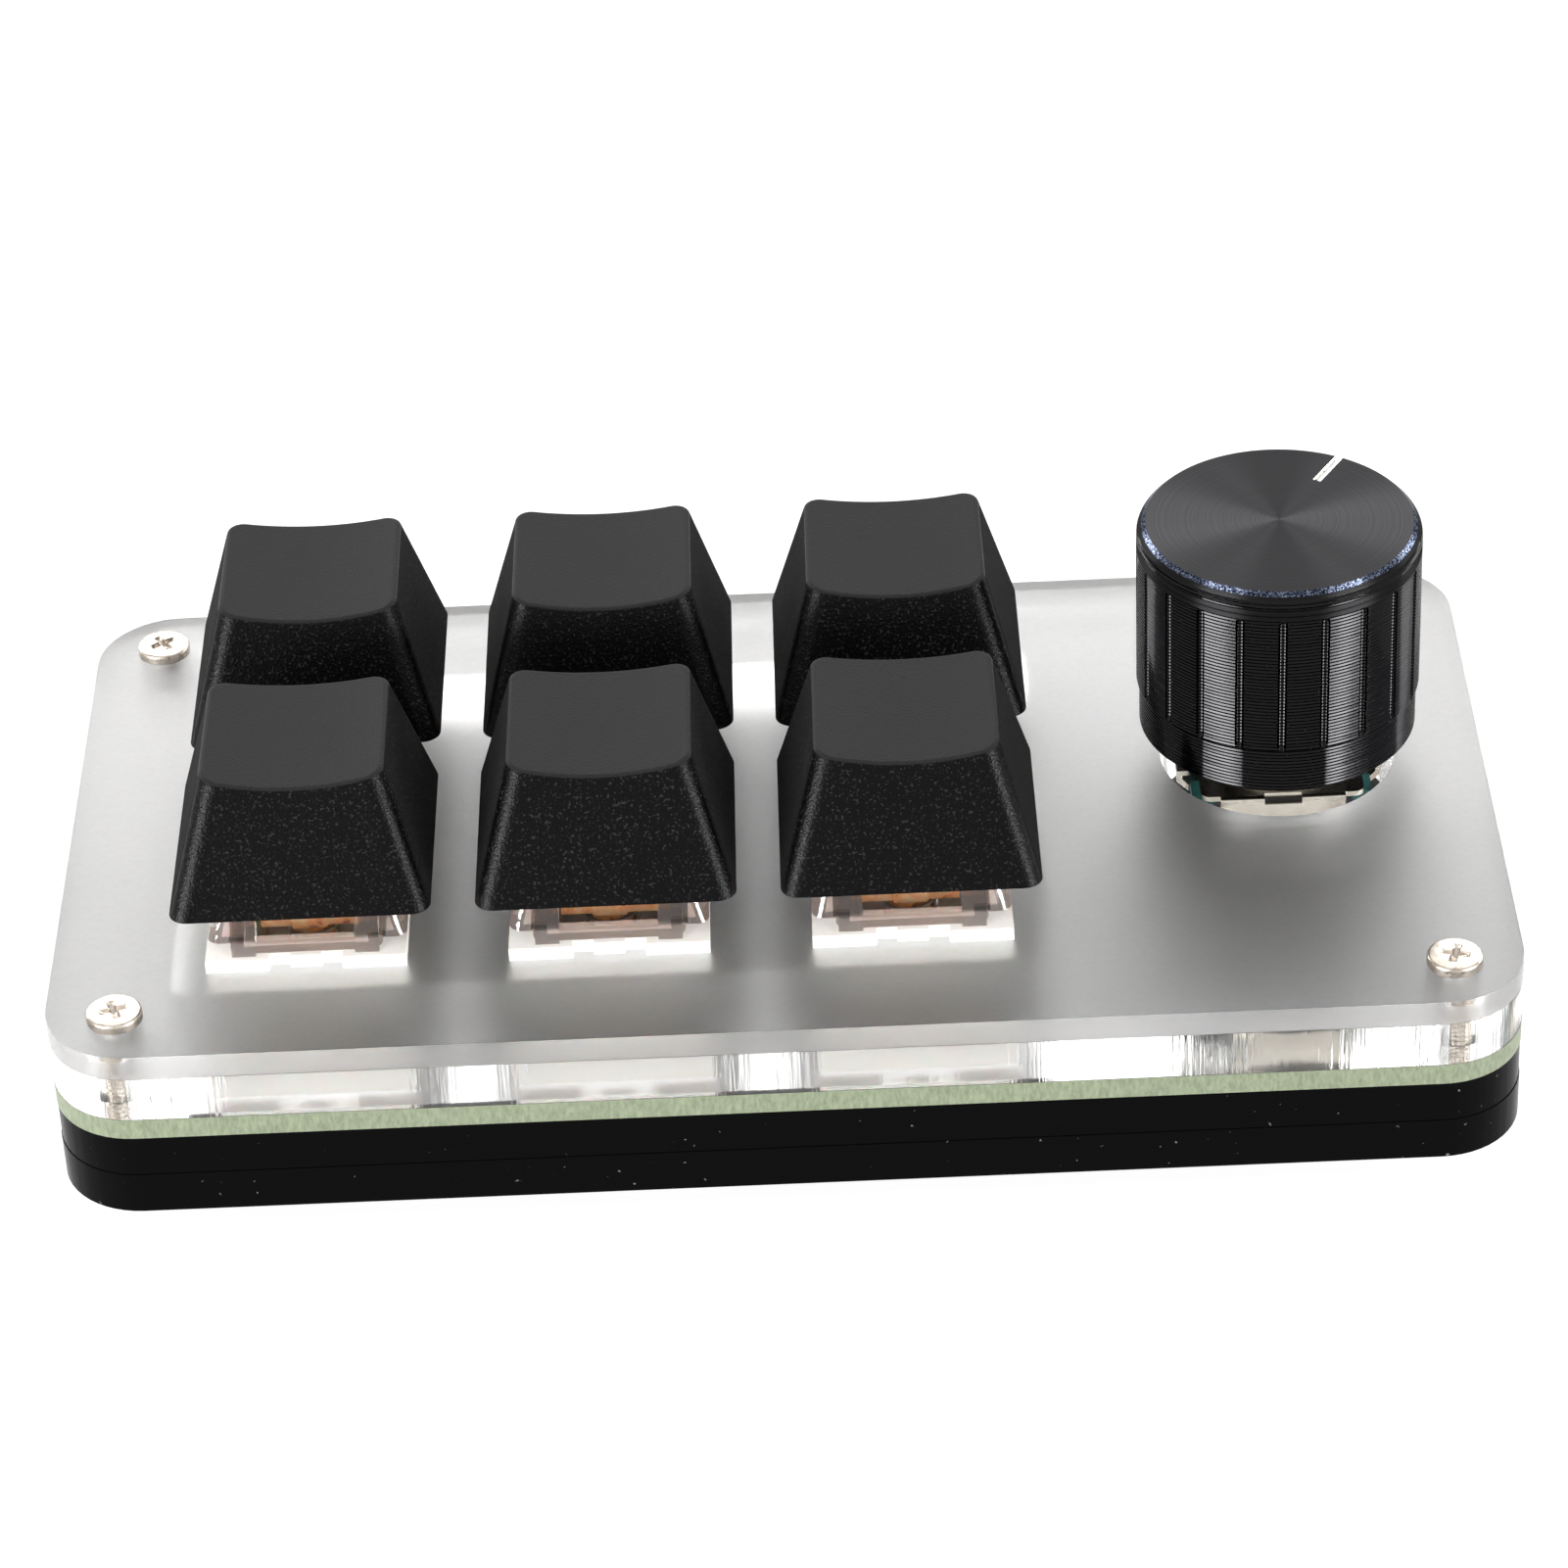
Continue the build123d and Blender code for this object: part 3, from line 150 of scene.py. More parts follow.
floor_mesh = bpy.data.meshes.new("floor")
half = FLOOR_SIZE / 2
corners = [(-half, -half, 0), (half, -half, 0), (half, half, 0), (-half, half, 0)]
floor_mesh.from_pydata(corners, [], [(0, 1, 2, 3)])
floor = bpy.data.objects.new("floor", floor_mesh)
bpy.context.scene.collection.objects.link(floor)

# The floor lights the object as a plain grey. Seen directly it glows nearly white, with a share
# of the lamps' light on top, so that the object's shadow stays on it.
floor_finish = bpy.data.materials.new("white_sweep")
floor_finish.use_nodes = True
tree = floor_finish.node_tree
tree.nodes.remove(tree.nodes["Principled BSDF"])
matt = put(tree, "BsdfDiffuse", {"Color": grey(FLOOR_GREY)}).outputs[0]
shadowed = put(tree, "BsdfDiffuse", {"Color": grey(SHOWN_GREY)}).outputs[0]
glow = put(tree, "Emission", {"Strength": SHOWN_GLOW}).outputs[0]
shown = put(tree, "AddShader", {0: shadowed, 1: glow}).outputs[0]
mixed = put(tree, "MixShader", {0: seen_directly(tree), 1: matt, 2: shown})
feed(tree, tree.nodes["Material Output"], {"Surface": mixed.outputs[0]})
floor_mesh.materials.append(floor_finish)

for name, values in LAMPS.items():
    lamp = bpy.data.lights.new(name, "AREA")
    lamp.shape = "RECTANGLE"
    lamp.size, lamp.size_y = values["size"]
    lamp.energy = values["watts"]
    holder = bpy.data.objects.new(name, lamp)
    bpy.context.scene.collection.objects.link(holder)
    way = Vector(LAMP_AIM) - Vector(values["place"])
    facing = way.to_track_quat("-Z", "Y").to_matrix().to_4x4()
    holder.matrix_world = Matrix.Translation(values["place"]) @ facing

# --- clear and frosted acrylic ----------------------------------------------------------------
# The top plate is cast acrylic frosted on its face, and the spacer under it is clear. Both are
# laser cut, which leaves glossy edges with fine upright ripples.

ACRYLIC_IOR = 1.49
AIR_FILM = 0.00003
BOUNCES = 32
BROAD_FACE = 0.7


def new_finish(name):
    """A node material: the material, its tree, its Principled shader and object coordinates."""
    material = bpy.data.materials.new(name)
    material.use_nodes = True
    tree = material.node_tree
    place = put(tree, "TexCoord").outputs["Object"]
    return material, tree, tree.nodes["Principled BSDF"], place


def dress(material, *names):
    """Give CAD nodes this material."""
    for name in names:
        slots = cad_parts[name].data.materials
        slots.clear()
        slots.append(material)


def paint(red, green, blue):
    """A colour given as it shows on screen, as the linear colour that shaders take."""
    shown = np.array((red, green, blue), float)
    linear = np.where(shown <= 0.04045, shown / 12.92, ((shown + 0.055) / 1.055) ** 2.4)
    return (*linear.tolist(), 1.0)


def shader_group(name, inputs, outputs):
    """An empty node group: the group, the outputs of its input node, and its output node.

    Inputs are (name, kind, default) and outputs are (name, kind).
    """
    group = bpy.data.node_groups.new(name, "ShaderNodeTree")
    for label, kind, default in inputs:
        kind = "NodeSocket" + kind
        socket = group.interface.new_socket(label, in_out="INPUT", socket_type=kind)
        if default is not None:
            socket.default_value = default
    for label, kind in outputs:
        group.interface.new_socket(label, in_out="OUTPUT", socket_type="NodeSocket" + kind)
    return group, group.nodes.new("NodeGroupInput").outputs, group.nodes.new("NodeGroupOutput")


def place_group(tree, group, sockets):
    """Place a node group in a tree and feed it. Returns its outputs."""
    node = tree.nodes.new("ShaderNodeGroup")
    node.node_tree = group
    feed(tree, node, sockets)
    return node.outputs


def noise(tree, place, scale, detail, **more):
    """Smooth noise of this scale, about 0 to 1, with detail octaves finer than it."""
    sockets = {"Vector": place, "Scale": scale, "Detail": detail, **more}
    return put(tree, "TexNoise", sockets).outputs[0]


def blend(tree, share, first, second, kind="RGBA"):
    """Two colours, or two numbers if kind is FLOAT: all first at a share of 0, all second at 1."""
    start, result = {"FLOAT": (2, 0), "RGBA": (6, 2)}[kind]
    sockets = {0: share, start: first, start + 1: second}
    return put(tree, "Mix", sockets, data_type=kind).outputs[result]


def bump(tree, height, strength, distance):
    """The normal that a height map of this depth in metres gives."""
    sockets = {"Height": height, "Strength": strength, "Distance": distance}
    return put(tree, "Bump", sockets).outputs["Normal"]


def normal_axes(tree):
    """The x, y and z of the surface's own normal."""
    return put(tree, "SeparateXYZ", {0: put(tree, "NewGeometry").outputs["Normal"]}).outputs


# Upright ripples of a laser cut: noise that changes fast along the sheet and slowly through it.
# Face is 1 on the sheet's broad faces, where there are none.
cut_ripples, given, results = shader_group(
    "cut_ripples",
    [("Place", "Vector", None), ("Ripples", "Float", 2500.0), ("Lean", "Float", 0.03)],
    [("Height", "Float"), ("Face", "Float")],
)
upright_scale = calc(cut_ripples, "MULTIPLY", given["Ripples"], given["Lean"])
scales = {0: given["Ripples"], 1: given["Ripples"], 2: upright_scale}
stretch = put(cut_ripples, "CombineXYZ", scales).outputs[0]
streaked = put(cut_ripples, "VectorMath", {0: given["Place"], 1: stretch}, operation="MULTIPLY")
ripples = noise(cut_ripples, streaked.outputs[0], 1.0, 3.0)
upright_part = calc(cut_ripples, "ABSOLUTE", normal_axes(cut_ripples)[2])
flat = calc(cut_ripples, "GREATER_THAN", upright_part, BROAD_FACE)
edge = calc(cut_ripples, "SUBTRACT", 1.0, flat)
height = calc(cut_ripples, "MULTIPLY", ripples, edge)
feed(cut_ripples, results, {"Height": height, "Face": flat})

# Fine grain of a frosted or moulded surface, as a height and as a mask of its highest specks.
fine_grain, given, results = shader_group(
    "fine_grain",
    [("Place", "Vector", None), ("Grains", "Float", 4000.0), ("Share", "Float", 0.62)],
    [("Height", "Float"), ("Specks", "Float")],
)
grains = noise(fine_grain, given["Place"], given["Grains"], 2.0)
above = calc(fine_grain, "SUBTRACT", grains, given["Share"])
specks = span(fine_grain, above, 0.0, 1.0, end=0.06)
feed(fine_grain, results, {"Height": grains, "Specks": specks})

frosted, tree, shader, place = new_finish("frosted_acrylic")
cut = place_group(tree, cut_ripples, {"Place": place, "Ripples": 2600.0})
grain = place_group(tree, fine_grain, {"Place": place, "Grains": 2600.0})
relief = calc(tree, "ADD", cut["Height"], calc(tree, "MULTIPLY", grain["Height"], 0.7))
feed(tree, shader, {
    "Base Color": blend(tree, grain["Height"], paint(0.92, 0.915, 0.91), paint(1.0, 1.0, 1.0)),
    "Roughness": span(tree, cut["Face"], 0.16, 0.42),
    "IOR": ACRYLIC_IOR, "Transmission Weight": 1.0,
    "Normal": bump(tree, relief, 0.35, 0.00004),
})
dress(frosted, "top_plate")

clear, tree, shader, place = new_finish("clear_acrylic")
cut = place_group(tree, cut_ripples, {"Place": place, "Ripples": 2400.0, "Lean": 0.05})
feed(tree, shader, {
    "Base Color": paint(0.985, 0.985, 0.98), "Roughness": 0.05,
    "IOR": ACRYLIC_IOR, "Transmission Weight": 1.0,
    "Normal": bump(tree, cut["Height"], 1.0, 0.00007),
})
dress(clear, "spacer_plate")


def leave_air(name, gap):
    """Draw a sheet's faces in by a hair, so that a film of air lies round it."""
    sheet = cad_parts[name]
    weld = sheet.modifiers.new("weld", "WELD")
    weld.merge_threshold = 1e-6
    shrink = sheet.modifiers.new("air_film", "DISPLACE")
    shrink.strength, shrink.mid_level = -gap, 0.0


leave_air("top_plate", AIR_FILM)
leave_air("spacer_plate", AIR_FILM)

# Light that runs along the inside of a clear sheet is reflected many times before it leaves.
bpy.context.scene.cycles.max_bounces = BOUNCES
bpy.context.scene.cycles.glossy_bounces = BOUNCES
bpy.context.scene.cycles.transmission_bounces = BOUNCES

# --- circuit board ----------------------------------------------------------------------------
# Glass-epoxy laminate with a dark solder mask on its faces. The cut edge shows the pale green
# resin and the slanting lay of the glass cloth.

CLOTH_SLANT, CLOTH_STRETCH = math.radians(35), 0.35


def ramp(tree, factor, *stops):
    """The colour that a Color Ramp gives a factor. Its stops are (position, colour), in order."""
    node = put(tree, "ValToRGB", {"Fac": factor})
    elements = node.color_ramp.elements
    for element, (position, colour) in zip(elements, (stops[0], stops[-1])):
        element.position, element.color = position, colour
    for position, colour in stops[1:-1]:
        elements.new(position).color = colour
    return node.outputs[0]


board, tree, shader, place = new_finish("board_laminate")
cut = place_group(tree, cut_ripples, {"Place": place, "Ripples": 1800.0})
slant = {"Rotation": (0.0, CLOTH_SLANT, 0.0), "Scale": (1.0, 1.0, CLOTH_STRETCH)}
slanted = put(tree, "Mapping", {"Vector": place, **slant}).outputs[0]
weave = noise(tree, slanted, 4200.0, 3.0, Roughness=0.65)
cloth = ramp(tree, weave, (0.0, paint(0.24, 0.29, 0.21)), (1.0, paint(0.57, 0.60, 0.50)))
cloud = noise(tree, place, 60.0, 3.0)
mask = ramp(tree, cloud, (0.0, paint(0.15, 0.15, 0.135)), (1.0, paint(0.23, 0.225, 0.205)))
feed(tree, shader, {
    "Base Color": blend(tree, cut["Face"], cloth, mask), "Roughness": 0.45, "IOR": 1.5,
    "Normal": bump(tree, weave, 0.15, 0.00005),
})
dress(board, "circuit_board")

# --- black acrylic base -----------------------------------------------------------------------
# Two laser-cut layers of gloss black acrylic: a closed base and an open frame round the parts
# under the board. Their cut edges are rippled, and a few specks of dust lie on them.

black, tree, shader, place = new_finish("black_acrylic")
cut = place_group(tree, cut_ripples, {"Place": place, "Ripples": 1700.0, "Lean": 0.02})
dust = place_group(tree, fine_grain, {"Place": place, "Grains": 1700.0, "Share": 0.72})
feed(tree, shader, {
    "Base Color": blend(tree, dust["Specks"], paint(0.012, 0.011, 0.013), paint(0.42, 0.41, 0.41)),
    "Roughness": span(tree, dust["Specks"], 0.22, 0.7),
    "IOR": ACRYLIC_IOR, "Specular IOR Level": 0.04,
    "Normal": bump(tree, cut["Height"], 0.45, 0.00006),
})
dress(black, "base_plate", "case_frame")

# --- rubber feet ------------------------------------------------------------------------------
# Four self-adhesive feet of soft black rubber, matt and a little dusty, stuck under the base
# near its corners.

rubber, tree, shader, place = new_finish("foot_rubber")
grain = place_group(tree, fine_grain, {"Place": place, "Grains": 2500.0})
feed(tree, shader, {
    "Base Color": blend(tree, grain["Height"], paint(0.12, 0.12, 0.12), paint(0.22, 0.22, 0.22)),
    "Roughness": 0.85, "Normal": bump(tree, grain["Height"], 0.5, 0.00008),
})
dress(rubber, "rubber_feet")

# --- case screws and nuts ---------------------------------------------------------------------
# Nickel-plated M2 pan-head screws with a cross recess and a rolled thread. They run through all
# the layers into plain hexagon nuts under the base.

SCREW_X, SCREW_Y = 46.2, 23.1
FIRST_TURN, NEXT_TURN = 0.35, 0.9
HEAD_RADIUS, HEAD_HEIGHT, HEAD_COLUMNS = 1.95, 0.8, 96
CROWN_RADIUS, CROWN_FALL, CROWN_ROWS = 1.72, 0.12, 40
RIM_START, RIM_FALL, RIM_ROWS = 0.094, 0.22, 7
HEAD_WALL_FOOT, HEAD_UNDERSIDE = 0.05, 0.01
WING_LENGTH, WING_WIDTH, WING_SLOPE = 1.05, 0.3, 0.16
RECESS_DEPTH, RECESS_REACH = 0.5, 1.6
SHANK_RADIUS, SHANK_LENGTH, SHANK_COLUMNS = 1.0, 16.0, 24
THREAD_PITCH, THREAD_DEPTH = 0.4, 0.2
POINT_LENGTH = 0.3
PLATE_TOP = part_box("top_plate")[1].z / MM


def smooth_piece(name, grids, material, body, sharp=40.0):
    """One piece from grids of points in mm, rows x columns x 3, whose columns close up.

    Rows that shrink to a point make poles, which are merged. Edges over the sharp angle in
    degrees stay crisp.
    """
    points, faces, start = [], [], 0
    for grid in grids:
        rows, columns = grid.shape[:2]
        index = start + np.arange(rows * columns).reshape(rows, columns)
        beside = np.roll(index, -1, axis=1)
        ring = np.stack([index[:-1], index[1:], beside[1:], beside[:-1]], axis=-1)
        faces.append(ring.reshape(-1, 4))
        points.append(grid.reshape(-1, 3))
        start += rows * columns
    mesh = bpy.data.meshes.new(name)
    mesh.from_pydata((np.concatenate(points) * MM).tolist(), [], np.concatenate(faces).tolist())
    shell = bmesh.new()
    shell.from_mesh(mesh)
    bmesh.ops.remove_doubles(shell, verts=shell.verts, dist=1e-8)
    bmesh.ops.recalc_face_normals(shell, faces=shell.faces)
    shell.to_mesh(mesh)
    shell.free()
    mesh.polygons.foreach_set("use_smooth", np.ones(len(mesh.polygons), bool))
    mesh.set_sharp_from_angle(angle=math.radians(sharp))
    mesh.materials.append(material)
    piece = bpy.data.objects.new(name, mesh)
    bpy.context.scene.collection.objects.link(piece)
    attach(piece, body)
    return piece


def column(*values):
    """Values one under another, one for each ring."""
    return np.array(values, float)[:, None]


def rings(radius, height, columns):
    """Grid of rings: radius and height are rows x columns, or rows x 1, in mm."""
    turn = np.linspace(0, 2 * np.pi, columns, endpoint=False)[None, :]
    radius, height = np.broadcast_arrays(radius + 0 * turn, height + 0 * turn)
    return np.stack([radius * np.cos(turn), radius * np.sin(turn), height], axis=-1)


def screw_head(turned_by):
    """A pan head about the Z axis, on the plate's face at height 0, its cross turned by an angle.

    Crown: r runs from 0 to C, and the height is H - fall (r / R)^2 less the cross, which is
    the smooth step of the depth inside two crossed wings. Rim: a quarter of an ellipse.
    """
    turn = np.linspace(0, 2 * np.pi, HEAD_COLUMNS, endpoint=False)[None, :]
    out = np.linspace(0, CROWN_RADIUS, CROWN_ROWS)[:, None]
    across, along = (np.abs(out * wave(turn - turned_by)) for wave in (np.sin, np.cos))
    one_wing = np.maximum(across - WING_WIDTH, along - WING_LENGTH)
    other_wing = np.maximum(along - WING_WIDTH, across - WING_LENGTH)
    sunk = np.clip(-np.minimum(one_wing, other_wing) / WING_SLOPE, 0, 1)
    cross = RECESS_DEPTH * sunk**2 * (3 - 2 * sunk) * (1 - out / RECESS_REACH)
    crown = HEAD_HEIGHT - CROWN_FALL * (out / HEAD_RADIUS) ** 2 - cross
    arc = np.linspace(0, np.pi / 2, RIM_ROWS)[1:, None]
    rim_radius = CROWN_RADIUS + (HEAD_RADIUS - CROWN_RADIUS) * np.sin(arc)
    rim_height = HEAD_HEIGHT - RIM_START - RIM_FALL * (1 - np.cos(arc))
    wall_radius = column(HEAD_RADIUS, HEAD_RADIUS, 0.0)
    wall_height = column(HEAD_WALL_FOOT, HEAD_UNDERSIDE, HEAD_UNDERSIDE)
    return np.concatenate([
        rings(out, crown, HEAD_COLUMNS),
        rings(rim_radius, rim_height, HEAD_COLUMNS),
        rings(wall_radius, wall_height, HEAD_COLUMNS),
    ])


def screw_shank():
    """A threaded shank down the Z axis, closed in the head and at its blunt point.

    Thread: r = R - depth |saw(z / pitch - turn)|, a V groove.
    """
    depth = np.arange(0, SHANK_LENGTH - POINT_LENGTH, THREAD_PITCH / 4)[:, None]
    turn = np.linspace(0, 2 * np.pi, SHANK_COLUMNS, endpoint=False)[None, :]
    saw = np.abs(2 * ((depth / THREAD_PITCH + turn / (2 * np.pi)) % 1) - 1)
    return np.concatenate([
        rings(column(0.0, 0.8), column(0.3, 0.3), SHANK_COLUMNS),
        rings(SHANK_RADIUS - THREAD_DEPTH * saw, -depth, SHANK_COLUMNS),
        rings(column(0.75, 0.6, 0.0), column(0.25, 0.0, 0.0) - SHANK_LENGTH, SHANK_COLUMNS),
    ])


# Mottling of plated metal and clear or coloured resin: a soft noise as a height and as a colour
# between two.
mottle, given, results = shader_group(
    "mottle",
    [
        ("Place", "Vector", None), ("Scale", "Float", 1500.0), ("Detail", "Float", 3.0),
        ("Dark", "Color", paint(0.6, 0.6, 0.6)), ("Bright", "Color", paint(0.9, 0.9, 0.9)),
    ],
    [("Height", "Float"), ("Tone", "Color")],
)
cloud = noise(mottle, given["Place"], given["Scale"], given["Detail"])
tone = blend(mottle, cloud, given["Dark"], given["Bright"])
feed(mottle, results, {"Height": cloud, "Tone": tone})

nickel, tree, shader, place = new_finish("nickel_plate")
haze = place_group(tree, mottle, {
    "Place": place, "Scale": 1600.0,
    "Dark": paint(0.52, 0.46, 0.40), "Bright": paint(0.90, 0.87, 0.83),
})
feed(tree, shader, {
    "Base Color": haze["Tone"], "Metallic": 1.0,
    "Roughness": span(tree, haze["Height"], 0.2, 0.38),
    "Normal": bump(tree, haze["Height"], 0.2, 0.00003),
})

shells = []
for number, (side, end) in enumerate([(-1, -1), (1, -1), (-1, 1), (1, 1)]):
    foot = np.array([side * SCREW_X, end * SCREW_Y, PLATE_TOP])
    shells += [screw_head(FIRST_TURN + NEXT_TURN * number) + foot, screw_shank() + foot]
screws = smooth_piece("screw_set", shells, nickel, "case")
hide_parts("case_screws")
dress(nickel, "case_nuts")

# --- key switches -----------------------------------------------------------------------------
# Six switches: a white nylon base clipped in the plate, a clear polycarbonate housing over it,
# an amber stem and a coil spring, with tinned contacts soldered through the board.

KEYS = range(1, 7)
SPRING_TURNS, SPRING_RADIUS, TURN_STEPS = 10, 1.85, 24
WIRE_RADIUS, WIRE_SIDES = 0.15, 8

nylon, tree, shader, place = new_finish("white_nylon")
grain = place_group(tree, fine_grain, {"Place": place, "Grains": 2500.0})
feed(tree, shader, {
    "Base Color": blend(tree, grain["Height"], paint(0.95, 0.94, 0.91), paint(0.99, 0.985, 0.97)),
    "Roughness": 0.45, "Subsurface Weight": 0.15, "Subsurface Scale": 0.0008,
    "Normal": bump(tree, grain["Height"], 0.15, 0.00003),
})
dress(nylon, *[f"switch_base_{key}" for key in KEYS])

polycarbonate, tree, shader, place = new_finish("clear_polycarbonate")
flow = place_group(tree, mottle, {
    "Place": place, "Scale": 700.0, "Detail": 2.0,
    "Dark": paint(0.95, 0.89, 0.89), "Bright": paint(1.0, 0.97, 0.96),
})
feed(tree, shader, {
    "Base Color": flow["Tone"], "Roughness": 0.04,
    "IOR": 1.58, "Transmission Weight": 1.0, "Alpha": 0.7,
    "Normal": bump(tree, flow["Height"], 0.25, 0.00005),
})
dress(polycarbonate, *[f"switch_housing_{key}" for key in KEYS])

amber, tree, shader, place = new_finish("amber_acetal")
cloud = noise(tree, place, 900.0, 4.0)
resin = ramp(
    tree, cloud, (0.30, paint(0.62, 0.42, 0.40)),
    (0.42, paint(0.98, 0.72, 0.50)), (0.65, paint(1.0, 0.88, 0.72)),
)
feed(tree, shader, {
    "Base Color": resin, "Roughness": 0.32,
    "Subsurface Weight": 0.3, "Subsurface Scale": 0.001, "Subsurface Radius": (1.0, 0.4, 0.15),
    "Normal": bump(tree, cloud, 0.2, 0.00004),
})
dress(amber, *[f"key_stem_{key}" for key in KEYS])

tin, tree, shader, place = new_finish("tinned_metal")
haze = place_group(tree, mottle, {
    "Place": place, "Scale": 2200.0,
    "Dark": paint(0.72, 0.66, 0.58), "Bright": paint(0.88, 0.85, 0.80),
})
feed(tree, shader, {
    "Base Color": haze["Tone"], "Metallic": 1.0, "Roughness": 0.35,
    "Normal": bump(tree, haze["Height"], 0.2, 0.00003),
})
dress(tin, *[f"switch_contacts_{key}" for key in KEYS])

steel_wire, tree, shader, place = new_finish("spring_wire")
drawn = place_group(tree, mottle, {
    "Place": place, "Scale": 3000.0, "Detail": 2.0,
    "Dark": paint(0.68, 0.68, 0.67), "Bright": paint(0.86, 0.86, 0.85),
})
feed(tree, shader, {
    "Base Color": drawn["Tone"], "Metallic": 1.0, "Roughness": 0.28,
    "Normal": bump(tree, drawn["Height"], 0.2, 0.00002),
})


def coil(foot, height):
    """A round wire along a helix, closed at both ends, in mm.

    Middle of the wire: (R cos a, R sin a, w + (height - 2 w) a / a_end), where w is the wire's
    radius, with a circle in the upright plane through the axis.
    """
    turn = np.linspace(0, 2 * np.pi * SPRING_TURNS, TURN_STEPS * SPRING_TURNS + 1)[:, None]
    around = np.linspace(0, 2 * np.pi, WIRE_SIDES, endpoint=False)[None, :]
    climb = WIRE_RADIUS + (height - 2 * WIRE_RADIUS) * turn / turn[-1]
    rows = []
    for share, part in ((0.0, slice(0, 1)), (1.0, slice(None)), (0.0, slice(-1, None))):
        reach = SPRING_RADIUS + share * WIRE_RADIUS * np.cos(around)
        rise = climb[part] + share * WIRE_RADIUS * np.sin(around)
        x, y = reach * np.cos(turn[part]), reach * np.sin(turn[part])
        rows.append(np.stack([x, y, rise], axis=-1))
    return np.concatenate(rows) + np.array(foot)


for key in KEYS:
    low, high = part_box(f"switch_spring_{key}")
    foot = ((low.x + high.x) / 2 / MM, (low.y + high.y) / 2 / MM, low.z / MM)
    length = high.z - low.z
    spring = smooth_piece(f"coil_spring_{key}", [coil(foot, length / MM)], steel_wire, "case")
    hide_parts(f"switch_spring_{key}")
    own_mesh(spring)

# --- keycaps ----------------------------------------------------------------------------------
# Black moulded caps: a fine spark-eroded grain whose specks on the sides are painted as glints,
# softened corners that shine a little, a matt cylindrical dish on top and matt flanks. The tops
# are painted a lighter grey than the sides as painted light, though it is the same plastic.

SIDE_FROM, SIDE_FULL = 0.75, 0.55
FLANK_FROM, FLANK_FULL = 0.85, 0.93

cap_plastic, tree, shader, place = new_finish("keycap_plastic")
grain = place_group(tree, fine_grain, {"Place": place, "Grains": 5200.0, "Share": 0.60})
facing = normal_axes(tree)
on_side = span(tree, facing[2], 0.0, 1.0, start=SIDE_FROM, end=SIDE_FULL)
sideways = calc(tree, "ABSOLUTE", facing[0])
flank = span(tree, sideways, 0.0, 1.0, start=FLANK_FROM, end=FLANK_FULL)
# Painted glints: the grain's highest specks on the sides are painted a lighter grey, and are also
# smoother.
side_specks_and_painted_glints = calc(tree, "MULTIPLY", grain["Specks"], on_side)
side_tone_and_painted_glints = blend(tree, side_specks_and_painted_glints, paint(0.013, 0.012, 0.013), paint(0.14, 0.14, 0.14))
rough = blend(tree, on_side, 0.60, span(tree, side_specks_and_painted_glints, 0.30, 0.20), "FLOAT")
# Painted light: the tops are painted a lighter grey than the sides, though it is the same black
# plastic.
feed(tree, shader, {
    "Base Color": blend(tree, on_side, paint(0.118, 0.115, 0.119), side_tone_and_painted_glints),
    "Roughness": blend(tree, flank, rough, 0.9, "FLOAT"),
    "IOR": 1.5, "Specular IOR Level": 0.09,
    "Normal": bump(tree, grain["Height"], 0.75, 0.00006),
})
dress(cap_plastic, *[f"keycap_{key}" for key in KEYS])

# --- rotary encoder ---------------------------------------------------------------------------
# A pressable encoder: teal phenolic body with a dark contact carrier across its middle, plated
# sheet cover folded over it, turned bushing and shaft, and a moulded rotor inside.

CARRIER_HALF_WIDTH = 0.005

phenolic, tree, shader, place = new_finish("teal_phenolic")
cloud = place_group(tree, mottle, {
    "Place": place, "Scale": 800.0,
    "Dark": paint(0.05, 0.24, 0.24), "Bright": paint(0.14, 0.42, 0.40),
})
low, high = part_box("encoder_body")
across = put(tree, "SeparateXYZ", {0: place}).outputs[0]
aside = calc(tree, "ABSOLUTE", calc(tree, "SUBTRACT", across, (low.x + high.x) / 2))
carrier = calc(tree, "LESS_THAN", aside, CARRIER_HALF_WIDTH)
feed(tree, shader, {
    "Base Color": blend(tree, carrier, cloud["Tone"], paint(0.15, 0.15, 0.16)),
    "Roughness": 0.4, "Normal": bump(tree, cloud["Height"], 0.2, 0.00004),
})
dress(phenolic, "encoder_body")

plated, tree, shader, place = new_finish("plated_sheet")
haze = place_group(tree, mottle, {
    "Place": place, "Scale": 1500.0,
    "Dark": paint(0.74, 0.71, 0.66), "Bright": paint(0.89, 0.87, 0.83),
})
feed(tree, shader, {
    "Base Color": haze["Tone"], "Metallic": 1.0, "Roughness": 0.2,
    "Normal": bump(tree, haze["Height"], 0.25, 0.00003),
})
dress(plated, "encoder_cover", "encoder_bushing", "encoder_shaft", "usb_socket")
dress(tin, "encoder_terminals", "encoder_dome")
dress(nylon, "encoder_rotor")

# --- knob -------------------------------------------------------------------------------------
# Turned from aluminium bar and anodised black: fine turning lines round the side and across the
# face, a bright cut chamfer whose colour is a painted reflection, and a pointer slot milled
# through the black to bare metal. The face is painted lighter than the side as painted light.

low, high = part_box("knob")
KNOB_X, KNOB_Y, KNOB_TOP = (low.x + high.x) / 2, (low.y + high.y) / 2, high.z
FACE_ABOVE, SIDE_BELOW = 0.9, 0.5
CHAMFER_RADIUS, CHAMFER_FOOT = 0.0095, KNOB_TOP - 0.0003
SLOT_ANGLE, SLOT_START, SLOT_HALF_WIDTH = math.radians(58), 0.00585, 0.00032
SLOT_LIP, SLOT_FLOOR = KNOB_TOP - 0.00003, KNOB_TOP - 0.0004
SIDE_PITCH, FACE_PITCH = 0.00027, 0.00012
FACE_RELIEF = 0.08

